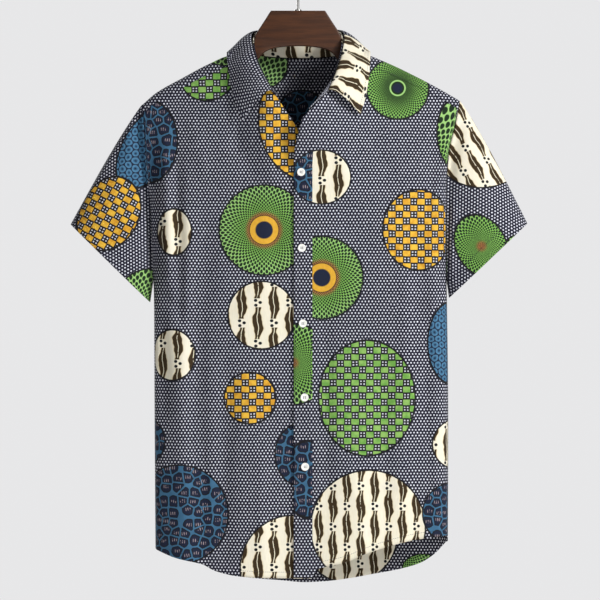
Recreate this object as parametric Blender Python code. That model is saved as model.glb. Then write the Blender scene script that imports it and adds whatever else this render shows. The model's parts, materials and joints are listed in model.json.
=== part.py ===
"""Short-sleeved print shirt on a wooden hanger, modelled panel by panel.

Units are metres, +Z is up and the shirt's front faces -Y. The origin is the inner top of the
hanger's hook, where a rail holds it. +X is the wearer's left, the right of a front view.
"""
import math

import bmesh
import bpy
import numpy as np
from mathutils import Vector

# Cloth and seams
WALL = 0.0012
SEAM_GAP = 0.0004
YOKE_GAP = 0.0009
SLEEVE_GAP = 0.0014
LAYER_GAP = 0.0004
LAYER_STEP = WALL + LAYER_GAP
RIDGE_RADIUS = 0.0085
SHOULDER_DROP = 0.27
CORNER_POWER = 4.0
CHEST_DEPTH = 0.046
HEM_DEPTH = 0.040
UNDERARM_Z = -0.449
CHEST_Z = -0.45
HEM_Z = -0.84

# Shoulder line seen from the front, carried on over the open neck: x across, z of its top
SHOULDER_LINE = {
    "x": (-0.2153, -0.1960, -0.1594, -0.1228, -0.0952, -0.0850, -0.0660, -0.0450, 0.0000,
          0.0500, 0.0740, 0.0850, 0.0925, 0.1201, 0.1601, 0.2001, 0.2236),
    "z": (-0.2017, -0.1852, -0.1645, -0.1451, -0.1340, -0.1330, -0.1335, -0.1200, -0.1120,
          -0.1200, -0.1335, -0.1320, -0.1325, -0.1424, -0.1612, -0.1824, -0.1962),
}
# Armholes, then side seams: height, x on the wearer's right and on the wearer's left
SIDE_LINE = {
    "z": (-0.8158, -0.6419, -0.4694, -0.4490, -0.3600, -0.3121, -0.2693, -0.2293, -0.1962),
    "right": (-0.1973, -0.1985, -0.1994, -0.2000, -0.2030, -0.2065, -0.2105, -0.2130, -0.2155),
    "left": (0.2075, 0.2080, 0.2062, 0.2056, 0.2050, 0.2048, 0.2076, 0.2167, 0.2236),
}
# How much of the rounded side is left to the sleeve: 1 closes the tube at the side seam
CLOSURE = {"z": (-0.4490, -0.4000, -0.3000, -0.2000), "share": (1.0, 0.975, 0.955, 0.90)}

# Hems: x across, z of the edge
HEM_RIGHT = {"x": (-0.1975, -0.1711, -0.1311, -0.1145, -0.0800, -0.0331, 0.0200),
             "z": (-0.8158, -0.8265, -0.8365, -0.8450, -0.8525, -0.8550, -0.8555)}
HEM_LEFT = {"x": (-0.0061, 0.0200, 0.0240, 0.0649, 0.0918, 0.1361, 0.1615, 0.2084),
            "z": (-0.8545, -0.8540, -0.8440, -0.8331, -0.8221, -0.8082, -0.8027, -0.7965)}
HEM_BACK = {"x": (-0.1975, -0.1311, -0.0800, -0.0331, 0.0083, 0.0580, 0.0952, 0.1325, 0.1700,
                  0.1880, 0.2084),
            "z": (-0.8158, -0.8400, -0.8570, -0.8625, -0.8655, -0.8615, -0.8560, -0.8490, -0.8380,
                  -0.8270, -0.8050)}

# Front edges, from the neck down: height and x
EDGE_LEFT = {"z": (-0.2859, -0.2652, -0.2445, -0.2238, -0.2114),
             "x": (-0.0061, -0.0048, 0.0000, 0.0055, 0.0166)}
EDGE_RIGHT = {"z": (-0.2859, -0.2652, -0.2445, -0.2266, -0.2100, -0.1934),
              "x": (0.0180, 0.0110, 0.0028, -0.0069, -0.0179, -0.0290)}
NECK_Z_LEFT = -0.2114
NECK_Z_RIGHT = -0.1934
LAP_SPREAD = 0.006
LAP_CLEAR = 0.0006
LAP_TOP_Z = -0.285
LAP_HALF_WIDTH = 0.020

# Yoke
YOKE_FRONT_DROP = {"q": (0.32, 1.0), "drop": (0.0165, 0.0125)}
YOKE_BACK_Z = -0.2285
BACK_NECK_Z = -0.1370
BACK_NECK_RISE = 0.0035
NECK_CORNER_Q = 0.32
NECK_BULGE = 0.034
ROUND_ROW_STEP = 0.0025
NECK_BULGE_WIDTH = 0.075
NECK_BULGE_HEIGHT = 0.085
NECK_FRONT_Z = -0.195
NECK_FRONT_SHARE = 0.50
NECK_BACK_SHARE = 0.27

# Panel columns from the neck corner to the side, as shares of the half width
SIDE_COLUMNS = (0.32, 0.385, 0.46, 0.545, 0.63, 0.72, 0.80, 0.87, 0.925, 0.962, 0.986, 1.0)
CENTRE_COLUMNS = 4
PANEL_ROWS = 24

# Largest soft folds of the panels: x, top z, bottom z, half width, depth (out is positive)
FOLD_COLUMNS = ("x", "top", "bottom", "width", "depth")
FRONT_FOLDS = (
    (-0.158, -0.230, -0.830, 0.018, 0.0045),
    (-0.128, -0.300, -0.840, 0.016, -0.0040),
    (-0.070, -0.480, -0.850, 0.022, 0.0025),
    (0.060, -0.520, -0.820, 0.024, 0.0022),
    (0.165, -0.240, -0.640, 0.015, -0.0035),
    (0.186, -0.300, -0.800, 0.012, 0.0030),
)
BACK_FOLDS = (
    (-0.150, -0.260, -0.830, 0.020, 0.0060),
    (-0.085, -0.240, -0.850, 0.017, -0.0070),
    (-0.020, -0.235, -0.860, 0.020, 0.0075),
    (0.045, -0.250, -0.860, 0.018, -0.0065),
    (0.110, -0.240, -0.840, 0.019, 0.0065),
    (0.160, -0.300, -0.800, 0.016, -0.0045),
)

# Sleeves: cuff tip and underarm notch, x and z, and the cuff's half depth
CUFF = {
    "right": {"tip": (-0.3146, -0.3673), "notch": (-0.2085, -0.4700)},
    "left": {"tip": (0.3174, -0.3659), "notch": (0.2100, -0.4694)},
}
CUFF_HALF_DEPTH = 0.036
SLEEVE_RING_HALF = 14
SLEEVE_ROWS = 9
SLEEVE_BULGE = 0.006

# Placket and buttons
PLACKET_WIDTH = 0.026
BUTTON_RADIUS = 0.0055
BUTTON_THICKNESS = 0.0024
BUTTON_SIDES = 20
BUTTONS = {"x": (0.0043, 0.0054, 0.0068, 0.0091, 0.0098),
           "z": (-0.2965, -0.4006, -0.5044, -0.6061, -0.7014)}

# Collar: the roll line and the fall's outer edge, from the wearer's right front to the left front
ROLL_LINE = {
    "x": (-0.0345, -0.0400, -0.0460, -0.0530, -0.0590, -0.0620, -0.0570, -0.0350, 0.0000,
          0.0350, 0.0560, 0.0610, 0.0580, 0.0535, 0.0490, 0.0445, 0.0400),
    "y": (-0.0560, -0.0550, -0.0520, -0.0430, -0.0280, -0.0060, 0.0220, 0.0440, 0.0510,
          0.0440, 0.0220, -0.0060, -0.0280, -0.0430, -0.0520, -0.0550, -0.0560),
    "z": (-0.1860, -0.1760, -0.1645, -0.1493, -0.1313, -0.1110, -0.1000, -0.0985, -0.0985,
          -0.0980, -0.0990, -0.1090, -0.1330, -0.1490, -0.1640, -0.1750, -0.1860),
}
FALL_EDGE = {
    "x": (-0.0773, -0.0856, -0.0905, -0.0940, -0.0968, -0.0985, -0.0900, -0.0520, 0.0000,
          0.0530, 0.0920, 0.1000, 0.0990, 0.0985, 0.0965, 0.0925, 0.0860),
    "z": (-0.2266, -0.2086, -0.1880, -0.1680, -0.1480, -0.1290, -0.1380, -0.1470, -0.1490,
          -0.1470, -0.1370, -0.1280, -0.1480, -0.1600, -0.1750, -0.1960, -0.2170),
    "side": (-1, -1, -1, -1, -1, 0, 1, 1, 1, 1, 1, 0, -1, -1, -1, -1, -1),
}
FRONT_NECK_STEPS = 8
CORNER_STEPS = 4
BACK_NECK_STEPS = 5
FALL_ROWS = 6
STAND_ROWS = 3
FALL_CLEAR = 0.0050
FALL_ARCH = 0.0060
ROLL_LIFT = 0.0032
STAND_LIFT = 0.0026

# Hanger
WOOD_THICKNESS = 0.012
WOOD_BEVEL = 0.0034
WOOD_TOP_Z = -0.0735
ARM_CLEARANCE = 0.0032
ARM_START_X = 0.078
ARM_END_X = 0.185
ARM_HEIGHT = 0.024
ARM_STATIONS = 7
HOOK_WIRE_RADIUS = 0.0019
HOOK_RADIUS = 0.021

COLOURS = {
    "print": (0.10, 0.11, 0.17),
    "button": (0.88, 0.88, 0.86),
    "wood": (0.16, 0.07, 0.03),
    "steel": (0.72, 0.72, 0.72),
}


def table(value, rows, key_from, key_to):
    """Read a table between its rows, which may run up or down."""
    xs = np.array(rows[key_from], dtype=float)
    ys = np.array(rows[key_to], dtype=float)
    order = np.argsort(xs)
    return float(np.interp(value, xs[order], ys[order]))


def blend(start, end, share):
    return start + (end - start) * share


def smooth(share):
    share = min(max(share, 0.0), 1.0)
    return share * share * (3.0 - 2.0 * share)


def side_x(q, z):
    """x of the column q at a height; q runs from -1 to 1 across the shirt."""
    right = table(z, SIDE_LINE, "z", "right")
    left = table(z, SIDE_LINE, "z", "left")
    return blend(right, left, (q + 1.0) / 2.0)


def column_at(x, z):
    right = table(z, SIDE_LINE, "z", "right")
    left = table(z, SIDE_LINE, "z", "left")
    return 2.0 * (x - right) / (left - right) - 1.0


def shoulder_z(x):
    return table(x, SHOULDER_LINE, "x", "z")


def fold_depth(x, z, folds):
    """Sum of the soft folds at a point; each fades in below its top."""
    total = 0.0
    for row in folds:
        fold = dict(zip(FOLD_COLUMNS, row))
        across = math.exp(-((x - fold["x"]) / fold["width"]) ** 2)
        fade = smooth((fold["top"] - z) / 0.16)
        total += fold["depth"] * across * fade
    return total


def depth(x, z, side):
    """How far the cloth's outer face lies from the plane of the hanger."""
    q = column_at(x, z)
    share = table(z, CLOSURE, "z", "share")
    corner = max(1.0 - abs(q * share) ** CORNER_POWER, 0.0) ** (1.0 / CORNER_POWER)
    drop = max(shoulder_z(x) - z, 0.0)
    ridge = math.sqrt(max(RIDGE_RADIUS ** 2 - max(RIDGE_RADIUS - drop, 0.0) ** 2, 0.0))
    full = blend(HEM_DEPTH, CHEST_DEPTH, smooth((z - HEM_Z) / (CHEST_Z - HEM_Z)))
    fall = min(max(drop - 0.5 * RIDGE_RADIUS, 0.0) / SHOULDER_DROP, 1.0) ** 0.62
    centre_z = NECK_FRONT_Z if side < 0 else BACK_NECK_Z
    bulge = NECK_BULGE * math.exp(-(x / NECK_BULGE_WIDTH) ** 2)
    bulge *= math.exp(-((z - centre_z) / NECK_BULGE_HEIGHT) ** 2) * smooth(drop / 0.02)
    folds = fold_depth(x, z, FRONT_FOLDS if side < 0 else BACK_FOLDS)
    return (ridge + (full - RIDGE_RADIUS) * fall + bulge + folds * fall) * corner


def cloth_point(x, z, side, lift=0.0):
    """A point on the front (side -1) or the back (side 1), moved out by lift."""
    return Vector((x, side * (depth(x, z, side) + lift), z))


def ridge_point(q, travel):
    """A point of the yoke: travel runs over the shoulder, negative in front."""
    side = -1 if travel < 0 else 1
    quarter = RIDGE_RADIUS * math.pi / 2.0
    distance = abs(travel)
    if distance < quarter:
        drop = RIDGE_RADIUS * (1.0 - math.cos(distance / RIDGE_RADIUS))
    else:
        drop = RIDGE_RADIUS + distance - quarter
    x = side_x(q, -0.20)
    for _ in range(3):
        z = shoulder_z(x) - drop
        x = side_x(q, z)
    return cloth_point(x, z, side)


def travel_to(q, z, side):
    """The travel over the shoulder that reaches a height."""
    drop = shoulder_z(side_x(q, z)) - z
    quarter = RIDGE_RADIUS * math.pi / 2.0
    if drop < RIDGE_RADIUS:
        return side * RIDGE_RADIUS * math.acos(1.0 - max(drop, 0.0) / RIDGE_RADIUS)
    return side * (quarter + drop - RIDGE_RADIUS)


def material(name, colour, roughness, metallic=0.0):
    made = bpy.data.materials.new(name)
    made.use_nodes = True
    shader = made.node_tree.nodes["Principled BSDF"]
    shader.inputs["Base Color"].default_value = (*colour, 1.0)
    shader.inputs["Roughness"].default_value = roughness
    shader.inputs["Metallic"].default_value = metallic
    return made


def link_mesh(name, bm, finish):
    mesh = bpy.data.meshes.new(name)
    bm.to_mesh(mesh)
    bm.free()
    mesh.shade_smooth()
    mesh.materials.append(finish)
    made = bpy.data.objects.new(name, mesh)
    bpy.context.scene.collection.objects.link(made)
    return made


def cloth_sheet(name, place, columns, rows, finish, outward, closed=False):
    """Shape a grid into a sheet and thicken it inwards.

    place(i, j) gives the point of column i and row j, and outward(point) the way out there.
    """
    bm = bmesh.new()
    bmesh.ops.create_grid(bm, x_segments=columns, y_segments=rows, size=0.5)
    for vert in bm.verts:
        column = round((vert.co.x + 0.5) * columns)
        row = round((vert.co.y + 0.5) * rows)
        if closed and column == columns:
            column = 0
        vert.co = place(column, row)
    if closed:
        bmesh.ops.remove_doubles(bm, verts=bm.verts, dist=0.00001)
    bm.normal_update()
    facing = sum(face.normal.dot(outward(face.calc_center_median())) for face in bm.faces)
    if facing < 0.0:
        bmesh.ops.reverse_faces(bm, faces=bm.faces)
    made = link_mesh(name, bm, finish)
    wall = made.modifiers.new("wall", 'SOLIDIFY')
    wall.thickness = WALL
    wall.offset = -1.0
    return made


def forward_drop(q):
    return table(abs(q), YOKE_FRONT_DROP, "q", "drop")


def front_edge_x(side_name, z):
    return table(z, EDGE_LEFT if side_name == "left" else EDGE_RIGHT, "z", "x")


def lap_lift(side_name, x, z):
    """The left front laps over the right one, and both part above the top button."""
    parting = LAP_SPREAD * smooth((z - LAP_TOP_Z) / 0.08)
    near = smooth(1.0 - (abs(x - 0.006) - LAP_HALF_WIDTH) / 0.03)
    if side_name == "left":
        return parting * near
    return -(LAYER_STEP + LAP_CLEAR + parting) * near


def front_place(side_name):
    """Return the function that places a front's grid points and its column count."""
    sign = 1.0 if side_name == "left" else -1.0
    neck_z = NECK_Z_LEFT if side_name == "left" else NECK_Z_RIGHT
    hem = HEM_LEFT if side_name == "left" else HEM_RIGHT

    def column_x(column, z):
        if column >= CENTRE_COLUMNS:
            return side_x(sign * SIDE_COLUMNS[column - CENTRE_COLUMNS], z)
        edge = front_edge_x(side_name, z)
        if column == 0:
            return edge
        band = edge + sign * PLACKET_WIDTH
        share = (column - 1) / (CENTRE_COLUMNS - 1)
        return blend(band, side_x(sign * NECK_CORNER_Q, z), share)

    def top_z(column):
        q = NECK_CORNER_Q
        if column >= CENTRE_COLUMNS:
            q = SIDE_COLUMNS[column - CENTRE_COLUMNS]
        z = -0.20
        for _ in range(4):
            z = shoulder_z(side_x(sign * q, z)) - forward_drop(q) - YOKE_GAP
        if column >= CENTRE_COLUMNS:
            return z
        across = (column_x(column, z) - column_x(0, neck_z)) / (column_x(CENTRE_COLUMNS, z)
                                                                - column_x(0, neck_z))
        return blend(neck_z, z, max(across, 0.0) if column else 0.0)

    def place(column, row):
        bottom = table(column_x(column, HEM_Z), hem, "x", "z")
        z = blend(top_z(column), bottom, (row / PANEL_ROWS) ** 1.15)
        x = column_x(column, z)
        point = cloth_point(x, z, -1, lap_lift(side_name, x, z))
        if column == CENTRE_COLUMNS + len(SIDE_COLUMNS) - 1:
            point.y = min(point.y, -SEAM_GAP / 2.0)
        return point

    return place, CENTRE_COLUMNS + len(SIDE_COLUMNS) - 1


def back_columns():
    outer = list(SIDE_COLUMNS)
    inner = [NECK_CORNER_Q * k / 3.0 for k in range(3)]
    half = inner + outer
    return [-q for q in reversed(half[1:])] + half


def build_back(finish):
    columns = back_columns()

    def place(column, row):
        q = columns[column]
        bottom = table(side_x(q, HEM_Z), HEM_BACK, "x", "z")
        z = blend(YOKE_BACK_Z - YOKE_GAP, bottom, row / (PANEL_ROWS - 2))
        point = cloth_point(side_x(q, z), z, 1)
        if column in (0, len(columns) - 1):
            point.y = max(point.y, SEAM_GAP / 2.0)
        return point

    return cloth_sheet("back", place, len(columns) - 1, PANEL_ROWS - 2, finish,
                       lambda point: Vector((0, 1, 0)))


def yoke_start(q):
    """Travel at which the yoke begins: the forward seam, or the back neckline."""
    if abs(q) >= NECK_CORNER_Q - 0.0001:
        return -(RIDGE_RADIUS * math.pi / 2.0 + forward_drop(q) - RIDGE_RADIUS)
    z = BACK_NECK_Z + BACK_NECK_RISE * (q / NECK_CORNER_Q) ** 2
    return travel_to(q, z, 1)


def neck_ring(u):
    """Neck edge of the body: u runs from the right front round the back to the left front."""
    around = 2.0 * u - 1.0
    side_name = "left" if around > 0 else "right"
    sign = 1.0 if around > 0 else -1.0
    place, _ = front_place(side_name)
    share = abs(around)
    corner = sign * NECK_CORNER_Q
    if share > NECK_FRONT_SHARE:
        along = (share - NECK_FRONT_SHARE) / (1.0 - NECK_FRONT_SHARE)
        neck_z = NECK_Z_LEFT if side_name == "left" else NECK_Z_RIGHT
        top = place(CENTRE_COLUMNS, 0).z
        z = blend(top, neck_z, along)
        x = blend(side_x(corner, top), front_edge_x(side_name, neck_z), along)
        return cloth_point(x, z, -1, lap_lift(side_name, x, z))
    if share > NECK_BACK_SHARE:
        turn = (share - NECK_BACK_SHARE) / (NECK_FRONT_SHARE - NECK_BACK_SHARE)
        travel = blend(travel_to(corner, BACK_NECK_Z + BACK_NECK_RISE, 1), yoke_start(corner), turn)
        return ridge_point(corner, travel)
    q = corner * share / NECK_BACK_SHARE
    return ridge_point(q, yoke_start(q * 0.999))


def build_yoke(finish):
    outer = [-q for q in reversed(SIDE_COLUMNS)]
    inner = [NECK_CORNER_Q * k / BACK_NECK_STEPS for k in range(1 - BACK_NECK_STEPS, BACK_NECK_STEPS)]
    stations = [(q, yoke_start(q)) for q in outer]
    back_z = BACK_NECK_Z + BACK_NECK_RISE

    def corner_turn(q, steps):
        start = yoke_start(q)
        end = travel_to(q, back_z, 1)
        return [(q, blend(start, end, k / steps)) for k in range(1, steps + 1)]

    stations += corner_turn(-NECK_CORNER_Q, CORNER_STEPS)
    stations += [(q, yoke_start(q)) for q in inner]
    stations += list(reversed(corner_turn(NECK_CORNER_Q, CORNER_STEPS)))
    stations += [(q, yoke_start(q)) for q in SIDE_COLUMNS]
    count = len(stations) - 1
    span = [0.0]
    for (q_before, t_before), (q_after, t_after) in zip(stations, stations[1:]):
        step = (ridge_point(q_after, t_after) - ridge_point(q_before, t_before)).length
        span.append(span[-1] + step)
    corner_count = len(SIDE_COLUMNS) - 1
    rows = 9
    quarter = RIDGE_RADIUS * math.pi / 2.0

    def lower_q(column):
        if column <= corner_count:
            return stations[column][0]
        if column >= count - corner_count:
            return stations[column][0]
        share = (span[column] - span[corner_count]) / (span[count - corner_count] - span[corner_count])
        return blend(-NECK_CORNER_Q, NECK_CORNER_Q, share)

    def place(column, row):
        """Rows lie close together over the shoulder's round and open out down the back."""
        q_top, travel_top = stations[column]
        q_low = lower_q(column)
        travel_low = travel_to(q_low, YOKE_BACK_Z, 1)
        round_rows = [quarter * (k - 3) / 3.0 for k in range(7)]
        steps = [travel_top] + round_rows + [blend(quarter, travel_low, 0.45), travel_low]
        travel = max(steps[row], travel_top + ROUND_ROW_STEP * row)
        travel = travel_low if row == rows else travel
        share = (travel - travel_top) / (travel_low - travel_top)
        return ridge_point(blend(q_top, q_low, smooth(share)), travel)

    return cloth_sheet("yoke", place, count, rows, finish, lambda point: Vector((0, 0.5, 1)))


def armhole_ring(sign):
    """Points round the armhole from the shoulder down the front, and up the back."""
    heights = []
    for k in range(SLEEVE_RING_HALF + 1):
        share = k / SLEEVE_RING_HALF
        travel = blend(0.0, travel_to(sign, UNDERARM_Z, -1), share ** 1.35)
        heights.append(travel)
    front = [ridge_point(sign, travel) for travel in heights]
    back = [ridge_point(sign, -travel) for travel in heights]
    front[0] = back[0]
    ring = front + list(reversed(back[1:-1]))
    lowest = ring[SLEEVE_RING_HALF]
    lowest.y = 0.0
    for point in ring:
        point.x += sign * SLEEVE_GAP
    return ring


def build_sleeve(name, side_name, finish):
    sign = 1.0 if side_name == "left" else -1.0
    ring = armhole_ring(sign)
    tip = CUFF[side_name]["tip"]
    notch = CUFF[side_name]["notch"]
    count = 2 * SLEEVE_RING_HALF

    def cuff_point(column):
        angle = 2.0 * math.pi * column / count
        along = math.cos(angle)
        across = math.sin(angle)
        x = blend(notch[0], tip[0], (along + 1.0) / 2.0)
        z = blend(notch[1], tip[1], (along + 1.0) / 2.0)
        y = -math.copysign(abs(across) ** 0.85, across) * CUFF_HALF_DEPTH
        return Vector((x, y, z))

    def place(column, row):
        share = row / SLEEVE_ROWS
        start = ring[column]
        end = cuff_point(column)
        point = start.lerp(end, share)
        round_out = SLEEVE_BULGE * math.sin(math.pi * share)
        point.y += math.copysign(round_out, point.y) * min(abs(point.y) / 0.01, 1.0)
        outer = max(math.cos(math.pi * column / SLEEVE_RING_HALF), 0.0)
        point.x += sign * 0.6 * round_out * outer
        return point

    centre = Vector((sign * 0.235, 0.0, -0.34))
    made = cloth_sheet(name, place, count, SLEEVE_ROWS, finish, lambda point: point - centre,
                       closed=True)
    return made


def build_placket(finish):
    panel_place, _ = front_place("left")

    def place(column, row):
        return panel_place(column, row) + Vector((0, -LAYER_STEP, 0))

    return cloth_sheet("placket", place, 1, PANEL_ROWS, finish, lambda point: Vector((0, -1, 0)))


def build_buttons(finish):
    for number, (x, z) in enumerate(zip(BUTTONS["x"], BUTTONS["z"]), start=1):
        seat = max(depth(x + dx, z + dz, -1) + lap_lift("left", x + dx, z + dz)
                   for dx in (-BUTTON_RADIUS, 0, BUTTON_RADIUS)
                   for dz in (-BUTTON_RADIUS, 0, BUTTON_RADIUS))
        seat += LAYER_STEP + LAYER_GAP + BUTTON_THICKNESS / 2.0
        bm = bmesh.new()
        bmesh.ops.create_cone(bm, cap_ends=True, segments=BUTTON_SIDES, radius1=BUTTON_RADIUS,
                              radius2=BUTTON_RADIUS, depth=BUTTON_THICKNESS)
        bmesh.ops.rotate(bm, verts=bm.verts, matrix=rotation_to_front())
        made = link_mesh("button_" + str(number), bm, finish)
        made.location = (x, -seat, z)
        rim = made.modifiers.new("rim", 'BEVEL')
        rim.width = 0.0007
        rim.segments = 2
        rim.limit_method = 'ANGLE'


def rotation_to_front():
    return Vector((0, 0, 1)).rotation_difference(Vector((0, -1, 0))).to_matrix()


def fit_curve(rows, keys, share):
    """Smooth point along a table's rows, by Catmull-Rom spans."""
    count = len(rows[keys[0]])
    place = share * (count - 1)
    index = min(int(place), count - 2)
    t = place - index
    values = []
    for key in keys:
        line = rows[key]
        before = line[max(index - 1, 0)]
        start = line[index]
        end = line[index + 1]
        after = line[min(index + 2, count - 1)]
        value = 0.5 * (2 * start + (end - before) * t
                       + (2 * before - 5 * start + 4 * end - after) * t * t
                       + (3 * start - before - 3 * end + after) * t ** 3)
        values.append(value)
    return values


def roll_point(share):
    return Vector(fit_curve(ROLL_LINE, ("x", "y", "z"), share))


def fall_edge_point(share):
    x, z, side = fit_curve(FALL_EDGE, ("x", "z", "side"), share)
    side = min(max(side, -1.0), 1.0)
    reach = depth(x, min(z, shoulder_z(x) - 0.001) - 0.004, -1 if side < 0 else 1) + FALL_CLEAR
    return Vector((x, side * reach, z))


def keep_clear(point):
    """Move a collar point out to clear the body's outer face."""
    side = -1 if point.y < 0 else 1
    if abs(point.y) < RIDGE_RADIUS + WALL:
        point.z = max(point.z, shoulder_z(point.x) + FALL_CLEAR)
    drop = shoulder_z(point.x) + FALL_CLEAR - point.z
    if drop <= 0.0:
        return point
    least = depth(point.x, point.z - 0.004, side) + FALL_CLEAR
    if abs(point.y) < least:
        point.y = side * least
    return point


def collar_stations():
    """Places round the collar from -1 at the right front over 0 at the back to 1."""
    half = [NECK_BACK_SHARE * k / BACK_NECK_STEPS for k in range(BACK_NECK_STEPS)]
    half += [blend(NECK_BACK_SHARE, NECK_FRONT_SHARE, k / CORNER_STEPS) for k in range(CORNER_STEPS)]
    half += [blend(NECK_FRONT_SHARE, 1.0, k / FRONT_NECK_STEPS) for k in range(FRONT_NECK_STEPS + 1)]
    return [-around for around in reversed(half[1:])] + half


def build_stand(finish):
    stations = collar_stations()

    def place(column, row):
        around = stations[column]
        share = (around + 1.0) / 2.0
        inward = smooth((abs(around) - 0.35) / 0.25)
        away = Vector((-math.copysign(inward, around), 0, 1)).normalized()
        low = neck_ring(share) + away * STAND_LIFT
        return low.lerp(roll_point(share), row / STAND_ROWS)

    return cloth_sheet("collar_stand", place, len(stations) - 1, STAND_ROWS, finish,
                       lambda point: Vector((point.x, point.y, 0)))


def build_fall(finish):
    stations = collar_stations()

    def place(column, row):
        share = (stations[column] + 1.0) / 2.0
        roll = roll_point(share)
        out = Vector((roll.x, roll.y, 0)).normalized()
        roll = roll + out * ROLL_LIFT + Vector((0, 0, ROLL_LIFT * 0.6))
        edge = fall_edge_point(share)
        along = row / FALL_ROWS
        arch = FALL_ARCH * math.sin(math.pi * along ** 0.7)
        point = roll.lerp(edge, along) + (out + Vector((0, 0, 0.7))) * arch
        return keep_clear(point)

    return cloth_sheet("collar_fall", place, len(stations) - 1, FALL_ROWS, finish,
                       lambda point: Vector((point.x, point.y, 0.02)))


def wood_outline():
    """Outline of the wooden hanger in the plane y = 0, clockwise from the left arm's end."""
    arms = [ARM_START_X + (ARM_END_X - ARM_START_X) * k / (ARM_STATIONS - 1) for k in range(ARM_STATIONS)]

    def arm_top(x):
        return shoulder_z(x) - ARM_CLEARANCE

    top_left = [(-x, arm_top(-x)) for x in reversed(arms)]
    neck_left = [(-0.0640, -0.1400), (-0.0602, -0.1300), (-0.0590, -0.1106), (-0.0530, -0.0980),
                 (-0.0442, -0.0858), (-0.0380, -0.0775), (-0.0325, WOOD_TOP_Z)]
    neck_right = [(-x, z) for x, z in reversed(neck_left)]
    top_right = [(x, arm_top(x)) for x in arms]
    end = ARM_HEIGHT * 0.55
    low_right = [(x, arm_top(x) - ARM_HEIGHT) for x in reversed(arms[1:])]
    arch_right = [(0.0790, -0.1600), (0.0610, -0.1490), (0.0515, -0.1335), (0.0400, -0.1262),
                  (0.0207, -0.1217)]
    arch_left = [(0.0, -0.1205)] + [(-x, z) for x, z in reversed(arch_right)]
    low_left = [(-x, arm_top(-x) - ARM_HEIGHT) for x in arms[1:]]
    tip_right = [(ARM_END_X + 0.006, arm_top(ARM_END_X) - end)]
    tip_left = [(-ARM_END_X - 0.006, arm_top(-ARM_END_X) - end)]
    return (top_left + neck_left + neck_right + top_right + tip_right + low_right + arch_right
            + arch_left + low_left + tip_left)


def build_wood(finish):
    bm = bmesh.new()
    half = WOOD_THICKNESS / 2.0
    front = [bm.verts.new((x, -half, z)) for x, z in wood_outline()]
    face = bm.faces.new(front)
    grown = bmesh.ops.extrude_face_region(bm, geom=[face])
    moved = [item for item in grown["geom"] if isinstance(item, bmesh.types.BMVert)]
    bmesh.ops.translate(bm, verts=moved, vec=(0, WOOD_THICKNESS, 0))
    bmesh.ops.recalc_face_normals(bm, faces=bm.faces)
    made = link_mesh("hanger_wood", bm, finish)
    edge = made.modifiers.new("edge", 'BEVEL')
    edge.width = WOOD_BEVEL
    edge.segments = 3
    edge.limit_method = 'ANGLE'
    edge.angle_limit = math.radians(50)
    return made


def hook_path():
    """Centreline of the hook: a straight stem, then a round crook over the rail."""
    centre_z = HOOK_WIRE_RADIUS - HOOK_RADIUS
    stem = [(0.0, WOOD_TOP_Z + 0.0004), (0.0, -0.062), (0.0, -0.052), (0.0025, -0.0445)]
    crook = []
    steps = 15
    for k in range(steps + 1):
        angle = math.radians(blend(-62.0, 205.0, k / steps))
        crook.append((HOOK_RADIUS * math.cos(angle), centre_z + HOOK_RADIUS * math.sin(angle)))
    return [Vector((x, 0.0, z)) for x, z in stem + crook]


def build_hook(finish):
    """Sweep a ring along the hook's centreline and close both ends."""
    path = hook_path()
    sides = 10
    bm = bmesh.new()
    rings = []
    for index, point in enumerate(path):
        before = path[max(index - 1, 0)]
        after = path[min(index + 1, len(path) - 1)]
        tangent = (after - before).normalized()
        across = tangent.cross(Vector((0, 1, 0))).normalized()
        ring = []
        for k in range(sides):
            angle = 2.0 * math.pi * k / sides
            spoke = across * math.cos(angle) + Vector((0, 1, 0)) * math.sin(angle)
            ring.append(bm.verts.new(point + spoke * HOOK_WIRE_RADIUS))
        rings.append(ring)
    for lower, upper in zip(rings, rings[1:]):
        for k in range(sides):
            after = (k + 1) % sides
            bm.faces.new((lower[k], lower[after], upper[after], upper[k]))
    bm.faces.new(list(reversed(rings[0])))
    bm.faces.new(rings[-1])
    bmesh.ops.recalc_face_normals(bm, faces=bm.faces)
    return link_mesh("hanger_hook", bm, finish)


def main():
    for old in list(bpy.data.objects):
        bpy.data.objects.remove(old, do_unlink=True)
    cloth = material("print_cotton", COLOURS["print"], 0.85)
    button = material("button_plastic", COLOURS["button"], 0.35)
    wood = material("stained_wood", COLOURS["wood"], 0.4)
    steel = material("hook_steel", COLOURS["steel"], 0.3, 1.0)
    for side_name in ("right", "left"):
        place, columns = front_place(side_name)
        cloth_sheet("front_" + side_name, place, columns, PANEL_ROWS, cloth,
                    lambda point: Vector((0, -1, 0)))
        build_sleeve("sleeve_" + side_name, side_name, cloth)
    build_back(cloth)
    build_yoke(cloth)
    build_placket(cloth)
    build_stand(cloth)
    build_fall(cloth)
    build_buttons(button)
    build_wood(wood)
    build_hook(steel)


main()
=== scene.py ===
"""Looks of a short-sleeved print shirt on a wooden hanger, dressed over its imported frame.

Lengths are metres. The shirt's front faces -Y and the origin is the inner top of the hook.
"""
import json
import logging
import math
from dataclasses import dataclass, replace
from enum import Enum
from typing import Callable, Sequence

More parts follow.
